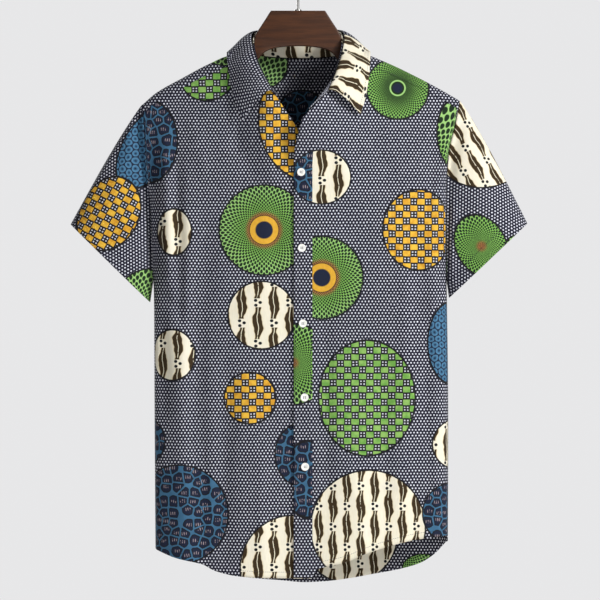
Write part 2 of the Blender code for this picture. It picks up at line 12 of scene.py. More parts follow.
import bmesh
import bpy
from mathutils import Matrix, Vector
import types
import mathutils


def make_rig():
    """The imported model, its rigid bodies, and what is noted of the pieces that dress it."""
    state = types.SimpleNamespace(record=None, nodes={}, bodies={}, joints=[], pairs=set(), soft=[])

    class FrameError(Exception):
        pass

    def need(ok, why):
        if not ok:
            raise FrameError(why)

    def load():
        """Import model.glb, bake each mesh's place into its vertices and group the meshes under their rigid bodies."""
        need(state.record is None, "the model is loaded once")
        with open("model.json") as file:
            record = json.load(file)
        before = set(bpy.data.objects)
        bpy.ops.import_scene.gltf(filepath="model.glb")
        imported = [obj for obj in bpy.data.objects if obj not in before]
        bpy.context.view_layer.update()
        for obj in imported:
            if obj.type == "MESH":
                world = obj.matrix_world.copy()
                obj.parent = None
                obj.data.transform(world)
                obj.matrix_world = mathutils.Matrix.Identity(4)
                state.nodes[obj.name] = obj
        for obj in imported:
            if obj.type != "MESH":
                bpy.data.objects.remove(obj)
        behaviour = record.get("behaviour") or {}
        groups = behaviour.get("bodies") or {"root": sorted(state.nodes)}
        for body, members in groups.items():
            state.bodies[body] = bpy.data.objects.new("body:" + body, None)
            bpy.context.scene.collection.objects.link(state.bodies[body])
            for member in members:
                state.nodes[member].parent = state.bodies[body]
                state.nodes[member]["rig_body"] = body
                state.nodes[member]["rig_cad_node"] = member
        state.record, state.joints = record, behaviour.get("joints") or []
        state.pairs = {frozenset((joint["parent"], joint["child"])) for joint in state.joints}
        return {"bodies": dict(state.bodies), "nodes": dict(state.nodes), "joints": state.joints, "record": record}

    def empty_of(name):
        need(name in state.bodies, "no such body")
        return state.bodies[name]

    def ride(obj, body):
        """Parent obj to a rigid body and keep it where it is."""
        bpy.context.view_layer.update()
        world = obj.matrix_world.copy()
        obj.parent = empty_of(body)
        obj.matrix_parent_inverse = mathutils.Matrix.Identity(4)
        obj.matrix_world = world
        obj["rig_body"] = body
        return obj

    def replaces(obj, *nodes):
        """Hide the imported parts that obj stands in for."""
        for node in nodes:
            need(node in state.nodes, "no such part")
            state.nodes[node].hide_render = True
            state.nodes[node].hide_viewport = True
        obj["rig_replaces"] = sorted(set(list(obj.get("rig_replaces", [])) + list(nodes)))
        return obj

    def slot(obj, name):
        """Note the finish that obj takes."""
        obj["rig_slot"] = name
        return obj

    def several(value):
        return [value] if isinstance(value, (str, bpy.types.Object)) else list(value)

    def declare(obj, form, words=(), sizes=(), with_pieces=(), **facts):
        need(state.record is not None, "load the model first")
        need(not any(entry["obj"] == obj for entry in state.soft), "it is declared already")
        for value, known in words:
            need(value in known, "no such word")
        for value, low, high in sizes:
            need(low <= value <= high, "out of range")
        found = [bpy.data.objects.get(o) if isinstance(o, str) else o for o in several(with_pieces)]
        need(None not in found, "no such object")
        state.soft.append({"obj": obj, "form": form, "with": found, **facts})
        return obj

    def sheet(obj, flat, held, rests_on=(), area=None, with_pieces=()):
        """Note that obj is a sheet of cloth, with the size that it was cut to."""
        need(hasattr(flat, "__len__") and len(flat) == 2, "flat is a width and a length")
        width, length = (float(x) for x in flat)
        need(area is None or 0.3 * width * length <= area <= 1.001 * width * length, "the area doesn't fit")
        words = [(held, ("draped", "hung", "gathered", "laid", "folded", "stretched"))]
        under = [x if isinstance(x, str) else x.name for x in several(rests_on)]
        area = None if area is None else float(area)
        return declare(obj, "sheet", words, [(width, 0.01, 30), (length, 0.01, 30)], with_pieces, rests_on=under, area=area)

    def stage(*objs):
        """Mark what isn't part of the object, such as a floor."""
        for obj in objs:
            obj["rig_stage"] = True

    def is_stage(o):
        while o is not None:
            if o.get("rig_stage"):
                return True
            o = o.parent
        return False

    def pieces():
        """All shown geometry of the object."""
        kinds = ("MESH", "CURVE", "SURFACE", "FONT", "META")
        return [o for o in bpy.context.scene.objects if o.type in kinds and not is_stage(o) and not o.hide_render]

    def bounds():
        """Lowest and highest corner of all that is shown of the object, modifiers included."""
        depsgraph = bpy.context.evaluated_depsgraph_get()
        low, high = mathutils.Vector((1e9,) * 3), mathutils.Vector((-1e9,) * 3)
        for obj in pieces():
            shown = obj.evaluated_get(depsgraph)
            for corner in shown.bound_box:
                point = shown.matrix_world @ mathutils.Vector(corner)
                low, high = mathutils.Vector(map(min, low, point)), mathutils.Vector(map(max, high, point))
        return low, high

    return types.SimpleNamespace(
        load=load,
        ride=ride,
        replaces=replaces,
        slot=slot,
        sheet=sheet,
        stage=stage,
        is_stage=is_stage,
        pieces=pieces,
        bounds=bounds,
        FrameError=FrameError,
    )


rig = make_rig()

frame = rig.load()

LOG = logging.getLogger("shirt")
SIZE_FILE = "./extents.json"
MM = 1000.0


# Small sums


def blend(start: float, end: float, share: float) -> float:
    """Value part of the way from start to end."""
    return start + (end - start) * share


def smooth(share: float) -> float:
    """Ease from 0 to 1 with flat ends."""
    share = min(max(share, 0.0), 1.0)
    return share * share * (3.0 - 2.0 * share)


class Curve:
    """Smooth curve through a table's rows that never overshoots them."""

    def __init__(self, xs: Sequence[float], ys: Sequence[float]) -> None:
        """Sort the rows and work out the slope at each.

        Args:
            xs: places along the curve.
            ys: the value at each place.
        """
        rows = sorted(zip(xs, ys))
        self.xs = [row[0] for row in rows]
        self.ys = [row[1] for row in rows]
        count = len(rows)
        steps = [(self.ys[k + 1] - self.ys[k]) / (self.xs[k + 1] - self.xs[k]) for k in range(count - 1)]
        self.slopes = [steps[0]] + [0.0] * (count - 2) + [steps[-1]]
        for k in range(1, count - 1):
            before, after = steps[k - 1], steps[k]
            if before * after > 0.0:
                self.slopes[k] = 2.0 * before * after / (before + after)

    def __call__(self, x: float) -> float:
        """Value at x, held at the ends.

        Args:
            x: place along the curve.

        Returns:
            The value there.
        """
        xs, ys = self.xs, self.ys
        if x <= xs[0]:
            return ys[0]
        if x >= xs[-1]:
            return ys[-1]
        k = 0
        while x > xs[k + 1]:
            k += 1
        width = xs[k + 1] - xs[k]
        t = (x - xs[k]) / width
        t2, t3 = t * t, t * t * t
        return ((2 * t3 - 3 * t2 + 1) * ys[k] + (t3 - 2 * t2 + t) * width * self.slopes[k]
                + (3 * t2 - 2 * t3) * ys[k + 1] + (t3 - t2) * width * self.slopes[k + 1])


class Side(Enum):
    """The wearer's two sides; the value is the sign of x."""

    RIGHT = -1
    LEFT = 1

    @property
    def word(self) -> str:
        """The side as the pieces' names say it."""
        return self.name.lower()


@dataclass(frozen=True)
class Crease:
    """A soft trough (negative depth) or ridge from one point to another of the front view."""

    x0: float
    z0: float
    x1: float
    z1: float
    width: float
    depth: float

    def lift(self, x: float, z: float) -> float:
        """How far the crease moves the cloth at a point.

        Args:
            x: across.
            z: up.

        Returns:
            The move outwards in metres.
        """
        along_x, along_z = self.x1 - self.x0, self.z1 - self.z0
        length = math.hypot(along_x, along_z)
        share = ((x - self.x0) * along_x + (z - self.z0) * along_z) / (length * length)
        ends = smooth((share + 0.15) / 0.4) * smooth((1.15 - share) / 0.4)
        if ends <= 0.0:
            return 0.0
        off = abs((x - self.x0) * along_z - (z - self.z0) * along_x) / length
        bow = 0.12 * self.width * math.sin(9.0 * share + 40.0 * self.x0)
        return self.depth * ends * math.exp(-((off + bow) / self.width) ** 2)


# The shirt's form, from the same named sizes as its solids


@dataclass(frozen=True)
class Fold:
    """A large soft fold that hangs down a panel."""

    x: float
    top: float
    width: float
    depth: float


class ShirtForm:
    """Surface of the body of the shirt as it hangs from the hanger."""

    ridge_radius = 0.0085
    shoulder_drop = 0.27
    chest_depth = 0.046
    hem_depth = 0.040
    chest_z = -0.45
    hem_z = -0.84
    underarm_z = -0.449
    neck_bulge = 0.034
    neck_bulge_width = 0.075
    neck_bulge_height = 0.085
    neck_front_z = -0.195
    back_neck_z = -0.1370
    back_neck_rise = 0.0035
    neck_corner = 0.32
    yoke_back_z = -0.2285
    wall = 0.0012
    layer = 0.0016
    fold_gain = 1.35
    crease_gain = 1.9
    fold_start = 0.16
    seam_tuck = 0.0013
    hem_turn = 0.0092
    hem_layer = 0.0004
    side_gap = 0.0002
    shoulder_z = -0.20

    shoulder = Curve(
        (-0.2153, -0.1960, -0.1594, -0.1228, -0.0952, -0.0850, -0.0660, -0.0450, 0.0000,
         0.0500, 0.0740, 0.0850, 0.0925, 0.1201, 0.1601, 0.2001, 0.2236),
        (-0.2017, -0.1852, -0.1645, -0.1451, -0.1340, -0.1330, -0.1335, -0.1200, -0.1120,
         -0.1200, -0.1335, -0.1320, -0.1325, -0.1424, -0.1612, -0.1824, -0.1962))
    side_heights = (-0.8158, -0.6419, -0.4694, -0.4490, -0.3600, -0.3121, -0.2693, -0.2293, -0.1962)
    right_side = Curve(side_heights, (-0.1973, -0.1985, -0.1994, -0.2000, -0.2030, -0.2065,
                                      -0.2105, -0.2130, -0.2155))
    left_side = Curve(side_heights, (0.2075, 0.2080, 0.2062, 0.2056, 0.2050, 0.2048, 0.2076,
                                     0.2167, 0.2236))
    closure = Curve((-0.4490, -0.4000, -0.3000, -0.2000), (1.0, 0.975, 0.955, 0.90))
    forward_drop = Curve((0.32, 1.0), (0.0165, 0.0125))
    hem_right = Curve((-0.1975, -0.1711, -0.1311, -0.1145, -0.0800, -0.0331, 0.0200),
                      (-0.8158, -0.8265, -0.8365, -0.8450, -0.8525, -0.8550, -0.8555))
    hem_left = Curve((-0.0061, 0.0200, 0.0240, 0.0649, 0.0918, 0.1361, 0.1615, 0.2084),
                     (-0.8545, -0.8540, -0.8440, -0.8331, -0.8221, -0.8082, -0.8027, -0.7965))
    hem_back = Curve((-0.1975, -0.1311, -0.0800, -0.0331, 0.0083, 0.0580, 0.0952, 0.1325,
                      0.1700, 0.1880, 0.2084),
                     (-0.8158, -0.8400, -0.8570, -0.8625, -0.8655, -0.8615, -0.8560, -0.8490,
                      -0.8380, -0.8270, -0.8050))
    edge_left = Curve((-0.2859, -0.2652, -0.2445, -0.2238, -0.2114),
                      (-0.0061, -0.0048, 0.0000, 0.0055, 0.0166))
    edge_right = Curve((-0.2859, -0.2652, -0.2445, -0.2266, -0.2100, -0.1934),
                       (0.0180, 0.0110, 0.0028, -0.0069, -0.0179, -0.0290))
    neck_z = {Side.LEFT: -0.2114, Side.RIGHT: -0.1934}

    # Folds: x, top, width, depth; creases: x and z of both ends, width, depth

    front_folds = tuple(Fold(*row) for row in (
        (-0.158, -0.230, 0.018, 0.0045), (-0.128, -0.300, 0.016, -0.0040),
        (-0.070, -0.480, 0.022, 0.0025), (0.060, -0.520, 0.024, 0.0022),
        (0.165, -0.240, 0.015, -0.0035), (0.186, -0.300, 0.012, 0.0030),
    ))
    back_folds = tuple(Fold(*row) for row in (
        (-0.150, -0.260, 0.020, 0.0060), (-0.085, -0.240, 0.017, -0.0070),
        (-0.020, -0.235, 0.020, 0.0075), (0.045, -0.250, 0.018, -0.0065),
        (0.110, -0.240, 0.019, 0.0065), (0.160, -0.300, 0.016, -0.0045),
    ))
    front_creases = tuple(Crease(*row) for row in (
        (-0.2050, -0.250, -0.1990, -0.455, 0.0110, -0.0125),
        (-0.168, -0.250, -0.161, -0.520, 0.0085, -0.0046),
        (-0.184, -0.230, -0.179, -0.440, 0.009, 0.0038),
        (-0.148, -0.215, -0.128, -0.300, 0.010, 0.0022),
        (-0.187, -0.480, -0.184, -0.640, 0.008, -0.0030),
        (-0.142, -0.420, -0.146, -0.700, 0.011, -0.0026),
        (-0.122, -0.500, -0.120, -0.820, 0.010, 0.0018),
        (-0.084, -0.205, -0.082, -0.270, 0.010, -0.0034),
        (-0.105, -0.215, -0.060, -0.310, 0.013, -0.0018),
        (-0.098, -0.560, -0.104, -0.830, 0.012, -0.0024),
        (-0.052, -0.660, -0.047, -0.850, 0.010, 0.0019),
        (-0.060, -0.225, -0.020, -0.330, 0.011, 0.0018),
        (-0.030, -0.330, -0.034, -0.470, 0.009, -0.0012),
        (-0.060, -0.430, -0.110, -0.500, 0.012, -0.0015),
        (-0.195, -0.450, -0.140, -0.520, 0.011, -0.0022),
        (0.048, -0.215, 0.075, -0.330, 0.014, 0.0024),
        (0.092, -0.215, 0.135, -0.330, 0.013, -0.0024),
        (0.030, -0.240, 0.050, -0.300, 0.009, -0.0014),
        (0.193, -0.225, 0.178, -0.360, 0.009, -0.0040),
        (0.204, -0.330, 0.200, -0.500, 0.007, -0.0030),
        (0.180, -0.470, 0.183, -0.800, 0.010, -0.0034),
        (0.150, -0.420, 0.156, -0.640, 0.012, 0.0022),
        (0.118, -0.560, 0.122, -0.800, 0.013, -0.0020),
        (0.078, -0.690, 0.088, -0.830, 0.012, 0.0018),
        (0.036, -0.470, 0.040, -0.760, 0.011, -0.0017),
        (0.200, -0.440, 0.150, -0.490, 0.010, -0.0020),
        (0.050, -0.360, 0.100, -0.400, 0.014, -0.0013),
    ))
    back_creases = tuple(Crease(*row) for row in (
        (-0.180, -0.260, -0.160, -0.420, 0.011, -0.0020),
        (-0.120, -0.300, -0.118, -0.560, 0.010, 0.0018),
        (-0.050, -0.280, -0.056, -0.520, 0.009, -0.0016),
        (0.015, -0.420, 0.010, -0.760, 0.011, -0.0018),
        (0.078, -0.320, 0.084, -0.600, 0.009, -0.0016),
        (0.140, -0.380, 0.135, -0.700, 0.012, 0.0016),
        (-0.165, -0.560, -0.172, -0.800, 0.010, -0.0016),
        (-0.095, -0.620, -0.100, -0.840, 0.010, -0.0013),
        (0.185, -0.250, 0.168, -0.400, 0.010, -0.0020),
        (0.180, -0.600, 0.186, -0.780, 0.009, -0.0014),
        (-0.110, -0.170, -0.050, -0.215, 0.012, -0.0012),
        (0.120, -0.165, 0.060, -0.210, 0.012, -0.0012),
    ))

    def side_x(self, q: float, z: float) -> float:
        """x of the column q, which runs from -1 to 1 across the shirt, at a height."""
        return blend(self.right_side(z), self.left_side(z), (q + 1.0) / 2.0)

    def column_at(self, x: float, z: float) -> float:
        """Column that passes through a point of the front view."""
        right, left = self.right_side(z), self.left_side(z)
        return 2.0 * (x - right) / (left - right) - 1.0

    def depth(self, x: float, z: float, side: int, creased: bool = True) -> float:
        """How far the cloth's outer face lies from the hanger's plane.

        Args:
            x: across.
            z: up.
            side: -1 for the front, 1 for the back.
            creased: whether the small creases count.

        Returns:
            The distance in metres.
        """
        q = self.column_at(x, z)
        corner = max(1.0 - abs(q * self.closure(z)) ** 4, 0.0) ** 0.25
        drop = max(self.shoulder(x) - z, 0.0)
        radius = self.ridge_radius
        ridge = math.sqrt(max(radius ** 2 - max(radius - drop, 0.0) ** 2, 0.0))
        full = blend(self.hem_depth, self.chest_depth,
                     smooth((z - self.hem_z) / (self.chest_z - self.hem_z)))
        fall = min(max(drop - 0.5 * radius, 0.0) / self.shoulder_drop, 1.0) ** 0.62
        centre_z = self.neck_front_z if side < 0 else self.back_neck_z
        bulge = self.neck_bulge * math.exp(-(x / self.neck_bulge_width) ** 2)
        bulge *= math.exp(-((z - centre_z) / self.neck_bulge_height) ** 2) * smooth(drop / 0.02)
        moves = 0.0
        for fold in (self.front_folds if side < 0 else self.back_folds):
            across = math.exp(-((x - fold.x) / fold.width) ** 2)
            moves += self.fold_gain * fold.depth * across * smooth((fold.top - z) / self.fold_start)
        if creased:
            for crease in (self.front_creases if side < 0 else self.back_creases):
                moves += self.crease_gain * crease.lift(x, z)
        return (ridge + (full - radius) * fall + bulge + moves * fall) * corner

    def point(self, x: float, z: float, side: int, lift: float = 0.0) -> Vector:
        """Point of the front or back, moved out by lift."""
        return Vector((x, side * (self.depth(x, z, side) + lift), z))

    def ridge_point(self, q: float, travel: float, lift: float = 0.0) -> Vector:
        """Point over the shoulder; travel is negative in front and positive behind.

        Args:
            q: column from -1 to 1.
            travel: distance over the shoulder line.
            lift: how far the point stands proud.

        Returns:
            The point.
        """
        side = -1 if travel < 0 else 1
        quarter = self.ridge_radius * math.pi / 2.0
        distance = abs(travel)
        if distance < quarter:
            drop = self.ridge_radius * (1.0 - math.cos(distance / self.ridge_radius))
        else:
            drop = self.ridge_radius + distance - quarter
        x = self.side_x(q, self.shoulder_z)
        for _ in range(3):
            z = self.shoulder(x) - drop
            x = self.side_x(q, z)
        made = self.point(x, z, side)
        turn = min(distance / self.ridge_radius, math.pi / 2.0)
        return made + Vector((0.0, side * math.sin(turn), math.cos(turn))) * lift

    def travel_to(self, q: float, z: float, side: int) -> float:
        """Travel over the shoulder that reaches a height on one side."""
        drop = self.shoulder(self.side_x(q, z)) - z
        if drop < self.ridge_radius:
            return side * self.ridge_radius * math.acos(1.0 - max(drop, 0.0) / self.ridge_radius)
        return side * (self.ridge_radius * math.pi / 2.0 + drop - self.ridge_radius)

    def yoke_start(self, q: float) -> float:
        """Travel at which the yoke begins: its forward seam, or the back neckline."""
        if abs(q) >= self.neck_corner - 0.0001:
            return -(self.ridge_radius * (math.pi / 2.0 - 1.0) + self.forward_drop(abs(q)))
        rise = self.back_neck_rise * (q / self.neck_corner) ** 2
        return self.travel_to(q, self.back_neck_z + rise, 1)

    def front_edge(self, side: Side, z: float) -> float:
        """x of a front's free edge at a height."""
        return self.edge_left(z) if side is Side.LEFT else self.edge_right(z)

    def lap_lift(self, side: Side, x: float, z: float) -> float:
        """How far the lap moves a front: the left one lies on the right one."""
        parting = 0.008 * smooth((z + 0.300) / 0.08)
        near = smooth(1.0 - (abs(x - 0.006) - 0.020) / 0.03)
        if side is Side.LEFT:
            return parting * near
        return -(self.layer + 0.0006 + 1.5 * parting) * near

    def front_point(self, side: Side, x: float, z: float, lift: float = 0.0) -> Vector:
        """Point of a front where it laps, moved out by lift."""
        return self.point(x, z, -1, self.lap_lift(side, x, z) + lift)

    def hem_lift(self, z: float, bottom: float) -> float:
        """How far the turned hem stands proud at a height."""
        return self.hem_layer * smooth((bottom + self.hem_turn - z) / 0.0012)


FORM = ShirtForm()


def rounding_curve() -> Curve:
    """Extra cloth that goes round the side of the body, by column."""
    columns = [1.0 - (1.0 - k / 60.0) ** 2 for k in range(61)]
    extra = [0.0]
    for before, after in zip(columns, columns[1:]):
        step = 0.20 * (after - before)
        turned = 0.042 * ((1.0 - after ** 4) ** 0.25 - (1.0 - before ** 4) ** 0.25)
        extra.append(extra[-1] + math.hypot(step, turned) - step)
    return Curve(columns, extra)


LET_OUT = rounding_curve()


def body_flat(point: Vector) -> tuple:
    """Place on the cut cloth of a point of the front or back."""
    q = FORM.column_at(point.x, point.z)
    return point.x + math.copysign(LET_OUT(min(abs(q), 1.0)), q), point.z


# Shader wiring


class Signal:
    """A node's output; plain sums with it add Math nodes."""

    def __init__(self, wires: "Wires", socket: bpy.types.NodeSocket) -> None:
        """Keep the output and the wires that add to its tree."""
        self.wires = wires
        self.socket = socket

    def __add__(self, other: object) -> "Signal":
        """The sum."""
        return self.wires.math("ADD", self, other)

    def __radd__(self, other: object) -> "Signal":
        """The sum, with a number first."""
        return self.wires.math("ADD", other, self)

    def __sub__(self, other: object) -> "Signal":
        """The difference."""
        return self.wires.math("SUBTRACT", self, other)

    def __rsub__(self, other: object) -> "Signal":
        """The difference, with a number first."""
        return self.wires.math("SUBTRACT", other, self)

    def __mul__(self, other: object) -> "Signal":
        """The product."""
        return self.wires.math("MULTIPLY", self, other)

    def __truediv__(self, other: object) -> "Signal":
        """The quotient."""
        return self.wires.math("DIVIDE", self, other)

    def __abs__(self) -> "Signal":
        """The size without its sign."""
        return self.wires.math("ABSOLUTE", self)


class Wires:
    """Short calls that add nodes to one tree and join them."""

    def __init__(self, tree: bpy.types.NodeTree) -> None:
        """Keep the tree that the calls add to."""
        self.tree = tree

    def feed(self, socket: bpy.types.NodeSocket, value: object) -> None:
        """Link a socket to a signal, or set its constant."""
        if isinstance(value, Signal):
            self.tree.links.new(value.socket, socket)
        else:
            socket.default_value = value

    def outputs(self, node: bpy.types.Node) -> dict:
        """A node's outputs by number, and by name where a name comes first."""
        given = {}
        for number, socket in enumerate(node.outputs):
            given[number] = Signal(self, socket)
            given.setdefault(socket.name, given[number])
        return given

    def add(self, kind: str, values: dict, **settings: object) -> dict:
        """Add a node.

        Args:
            kind: its type.
            values: what feeds its inputs, by name or number.
            settings: its properties.

        Returns:
            Its outputs.
        """
        made = self.tree.nodes.new(kind)
        for name, value in settings.items():
            setattr(made, name, value)
        for key, value in values.items():
            self.feed(made.inputs[key], value)
        return self.outputs(made)

    def math(self, operation: str, *values: object) -> Signal:
        """Add a Math node."""
        return self.add("ShaderNodeMath", dict(enumerate(values)), operation=operation)[0]

    def vector(self, operation: str, *values: object) -> Signal:
        """Add a Vector Math node; LENGTH and DISTANCE give a number."""
        output = "Value" if operation in ("LENGTH", "DISTANCE") else "Vector"
        return self.add("ShaderNodeVectorMath", dict(enumerate(values)), operation=operation)[output]

    def scale(self, value: Signal, size: float) -> Signal:
        """Scale a vector."""
        return self.add("ShaderNodeVectorMath", {0: value, "Scale": size}, operation="SCALE")["Vector"]

    def mix(self, share: object, first: object, second: object) -> Signal:
        """Mix two colours."""
        return self.add("ShaderNodeMix", {"Factor": share, 6: first, 7: second}, data_type="RGBA")[2]

    def edge(self, value: Signal, start: float, end: float) -> Signal:
        """Smooth step: 1 at start, 0 at end."""
        return self.add("ShaderNodeMapRange", {"Value": value, "From Min": start, "From Max": end,
                                               "To Min": 1.0, "To Max": 0.0},
                        interpolation_type="SMOOTHSTEP")["Result"]

    def split(self, value: Signal) -> tuple:
        """The x, y and z of a vector."""
        made = self.add("ShaderNodeSeparateXYZ", {0: value})
        return made[0], made[1], made[2]

    def join(self, x: Signal, y: Signal) -> Signal:
        """A flat vector from two numbers."""
        return self.add("ShaderNodeCombineXYZ", {0: x, 1: y, 2: 0.0})[0]

    def noise(self, place: Signal, scale: float, detail: float = 2.0) -> Signal:
        """Noise value at a place."""
        return self.add("ShaderNodeTexNoise", {"Vector": place, "Scale": scale, "Detail": detail})[0]

    def drift(self, place: Signal, scale: float) -> Signal:
        """Noise vector at a place, each part from 0 to 1."""
        return self.add("ShaderNodeTexNoise", {"Vector": place, "Scale": scale, "Detail": 2.0})[1]

    def centred(self, value: Signal) -> Signal:
        """Place in a cell of length 1, from -0.5 to 0.5."""
        return self.math("FRACT", value) - 0.5

    def by_turns(self, value: Signal) -> Signal:
        """0 and 1 by turns, with each whole number."""
        return self.math("PINGPONG", value, 1.0)

    def least(self, values: Sequence[Signal]) -> Signal:
        """The smallest of several numbers."""
        small = values[0]
        for value in values[1:]:
            small = self.math("MINIMUM", small, value)
        return small

    def bump(self, shader: bpy.types.Node, height: Signal, strength: float, distance: float) -> None:
        """Raise a shader's surface by a height."""
        made = self.add("ShaderNodeBump", {"Height": height, "Strength": strength, "Distance": distance})
        self.feed(shader.inputs["Normal"], made[0])

    def group(self, tree: bpy.types.NodeTree, **values: object) -> dict:
        """Place a node group."""
        return self.add("ShaderNodeGroup", values, node_tree=tree)


NAVY = (0.0055, 0.0062, 0.019, 1.0)
BLACK = (0.004, 0.004, 0.006, 1.0)
WHITE = (0.72, 0.73, 0.82, 1.0)
CREAM = (0.80, 0.74, 0.56, 1.0)
IVORY = (0.76, 0.72, 0.62, 1.0)
STRAW = (0.62, 0.42, 0.13, 1.0)
BROWN = (0.032, 0.017, 0.003, 1.0)
GOLD = (0.74, 0.44, 0.042, 1.0)
AMBER = (0.58, 0.28, 0.018, 1.0)
LEAF = (0.13, 0.33, 0.055, 1.0)
LIME = (0.24, 0.44, 0.105, 1.0)
GRASS = (0.20, 0.44, 0.085, 1.0)
PALE_GREEN = (0.29, 0.52, 0.16, 1.0)
DARK_GREEN = (0.004, 0.018, 0.004, 1.0)
DEEP_BLUE = (0.020, 0.078, 0.155, 1.0)
SKY = (0.056, 0.165, 0.285, 1.0)
INK = (0.005, 0.010, 0.032, 1.0)
PINK = (0.42, 0.34, 0.36, 1.0)
ORANGE = (0.50, 0.19, 0.060, 1.0)

# The print's repeats, in millimetres

DOT_PITCH, DOT_RADIUS = 4.64, 1.06
CHECK_CELL = (10.1, 8.9)
STRIPE_PITCH, STRIPE_LENGTH = 19.2, 56.0
STRIPE_DOTS = ((-2.6, 3.3), (2.9, 0.4), (-2.3, -3.4))
CRACKLE_CELL = 14.5
SMALL_CELL = 10.4
DROP_ROWS, DROP_COUNT = 7.3, 48.0
FAR = 1000.0


def lattice(wires: Wires, place: Signal, pitch: float) -> Signal:
    """Distance to the nearest point of a lattice of staggered rows."""
    half = (pitch / 2.0, pitch * math.sqrt(3.0) / 2.0, FAR)
    back = tuple(-size for size in half)
    moved = wires.vector("ADD", place, (half[0], half[1], 0.0))
    return wires.least([wires.vector("LENGTH", wires.vector("WRAP", spot, half, back))
                        for spot in (place, moved)])


def draw_dots(wires: Wires, place: Signal) -> tuple:
    """White dots in rows on navy, each a little different."""
    drift = wires.scale(wires.vector("SUBTRACT", wires.drift(place, 0.11), (0.5, 0.5, 0.5)), 1.5)
    near = lattice(wires, wires.vector("ADD", place, drift), DOT_PITCH) - wires.noise(place, 0.35) * 0.55
    dot = wires.edge(near, DOT_RADIUS - 0.50, DOT_RADIUS + 0.02)
    return (wires.mix((wires.noise(place, 0.9) + 0.42) * dot, NAVY, WHITE),)


def draw_check(wires: Wires, place: Signal, bright: Signal, deep: Signal) -> tuple:
    """Basket check: plain blocks by turns with black windows of four panes."""
    drift = wires.scale(wires.drift(place, 0.05), 2.6)
    x, y, _ = wires.split(wires.vector("DIVIDE", wires.vector("ADD", place, drift), (*CHECK_CELL, 1.0)))
    parity = wires.by_turns(wires.math("FLOOR", x) + wires.math("FLOOR", y))
    across, along = abs(wires.centred(x)), abs(wires.centred(y))
    most, least = wires.math("MAXIMUM", across, along), wires.math("MINIMUM", across, along)
    block = wires.mix(wires.edge(wires.noise(place, 0.09), 0.66, 0.36), bright, deep)
    block = wires.mix(wires.edge(along, 0.455, 0.400), block, BLACK)
    pane = wires.edge(most, 0.270, 0.350) * (1.0 - wires.edge(least, 0.080, 0.150))
    return (wires.mix(parity, block, wires.mix(pane * 0.85, BLACK, WHITE)),)


def draw_stripe(wires: Wires, place: Signal) -> tuple:
    """Brown ragged bars with a pale core on cream, three dots between their ends."""
    x, y, _ = wires.split(place)
    column = x / STRIPE_PITCH
    row = y / STRIPE_LENGTH + wires.by_turns(wires.math("FLOOR", column)) * 0.5
    along, straight = wires.centred(row), wires.centred(column) * STRIPE_PITCH
    side = straight + wires.math("SINE", along * 11.0) * 0.9
    reach = abs(along) * STRIPE_LENGTH
    ragged = (wires.noise(wires.vector("MULTIPLY", place, (0.06, 0.15, 1.0)), 1.0, 0.0) - 0.5) * 2.6
    off = abs(side) - (2.9 + wires.edge(reach, 6.0, 19.0) * 2.8 + ragged)
    ends = wires.edge(reach, STRIPE_LENGTH * 0.5 - 6.4, STRIPE_LENGTH * 0.5 - 5.6)
    body = wires.edge(off, -0.3, 0.3) * ends
    core = wires.edge(abs(side + ragged * 0.5), 0.22, 0.60) * wires.edge(wires.noise(place, 0.12), 0.56, 0.66)
    tip = wires.join(straight, wires.centred(row + 0.5) * STRIPE_LENGTH)
    near = wires.least([wires.vector("DISTANCE", tip, (*dot, 0.0)) for dot in STRIPE_DOTS])
    colour = wires.mix(wires.noise(place, 0.05), CREAM, IVORY)
    colour = wires.mix(wires.edge(off, -0.1, 1.5) * ends * 0.55, colour, STRAW)
    colour = wires.mix(body, colour, BROWN)
    colour = wires.mix(core * body, colour, CREAM)
    return (wires.mix(wires.edge(near, 1.85, 2.35), colour, BLACK),)


def draw_crackle(wires: Wires, place: Signal) -> tuple:
    """Blue lines round ink-dark pebbles, with a few pale strokes in each."""
    scaled = wires.scale(place, 1.0 / CRACKLE_CELL)
    edge, centre = (wires.add("ShaderNodeTexVoronoi", {"Vector": scaled, "Scale": 1.0, "Randomness": 0.72},
                              voronoi_dimensions="2D", feature=feature)
                    for feature in ("DISTANCE_TO_EDGE", "F1"))
    shape = wires.least([edge["Distance"], 0.67 - centre["Distance"]])
    shape = shape + (wires.noise(place, 0.3) - 0.5) * 0.10
    colour = wires.mix(wires.edge(shape, 0.13, 0.20), INK, BLACK)
    colour = wires.mix(wires.edge(shape, 0.055, 0.090), colour,
                       wires.mix(wires.noise(place, 0.09), DEEP_BLUE, SKY))
    x, y, _ = wires.split(wires.vector("SUBTRACT", scaled, centre["Position"]))
    slant = x + y * ((wires.noise(place, 0.07) - 0.5) * 1.6)
    strokes = wires.edge(wires.math("COSINE", slant * 30.0), 0.70, 0.10)
    strokes = strokes * wires.edge(abs(x), 0.20, 0.26) * wires.edge(abs(y), 0.09, 0.19)
    return (wires.mix(strokes * wires.edge(wires.noise(place, 0.30), 0.50, 0.38) * 0.8, colour, PINK),)


def draw_cells(wires: Wires, place: Signal) -> tuple:
    """Small blue rings with ink outlines and an ink speck in each."""
    drift = wires.vector("MULTIPLY", wires.drift(place, 0.045), (6.0, 6.0, 0.0))
    near = lattice(wires, wires.vector("ADD", place, drift), SMALL_CELL)
    near = near + (wires.noise(place, 0.4) - 0.5) * 1.1
    colour = wires.mix(wires.edge(near, 1.8, 2.8), SKY, DEEP_BLUE)
    colour = wires.mix(wires.edge(near, 0.8, 1.3), colour, INK)
    return (wires.mix(wires.edge(near, 4.3, 4.9), INK, colour),)


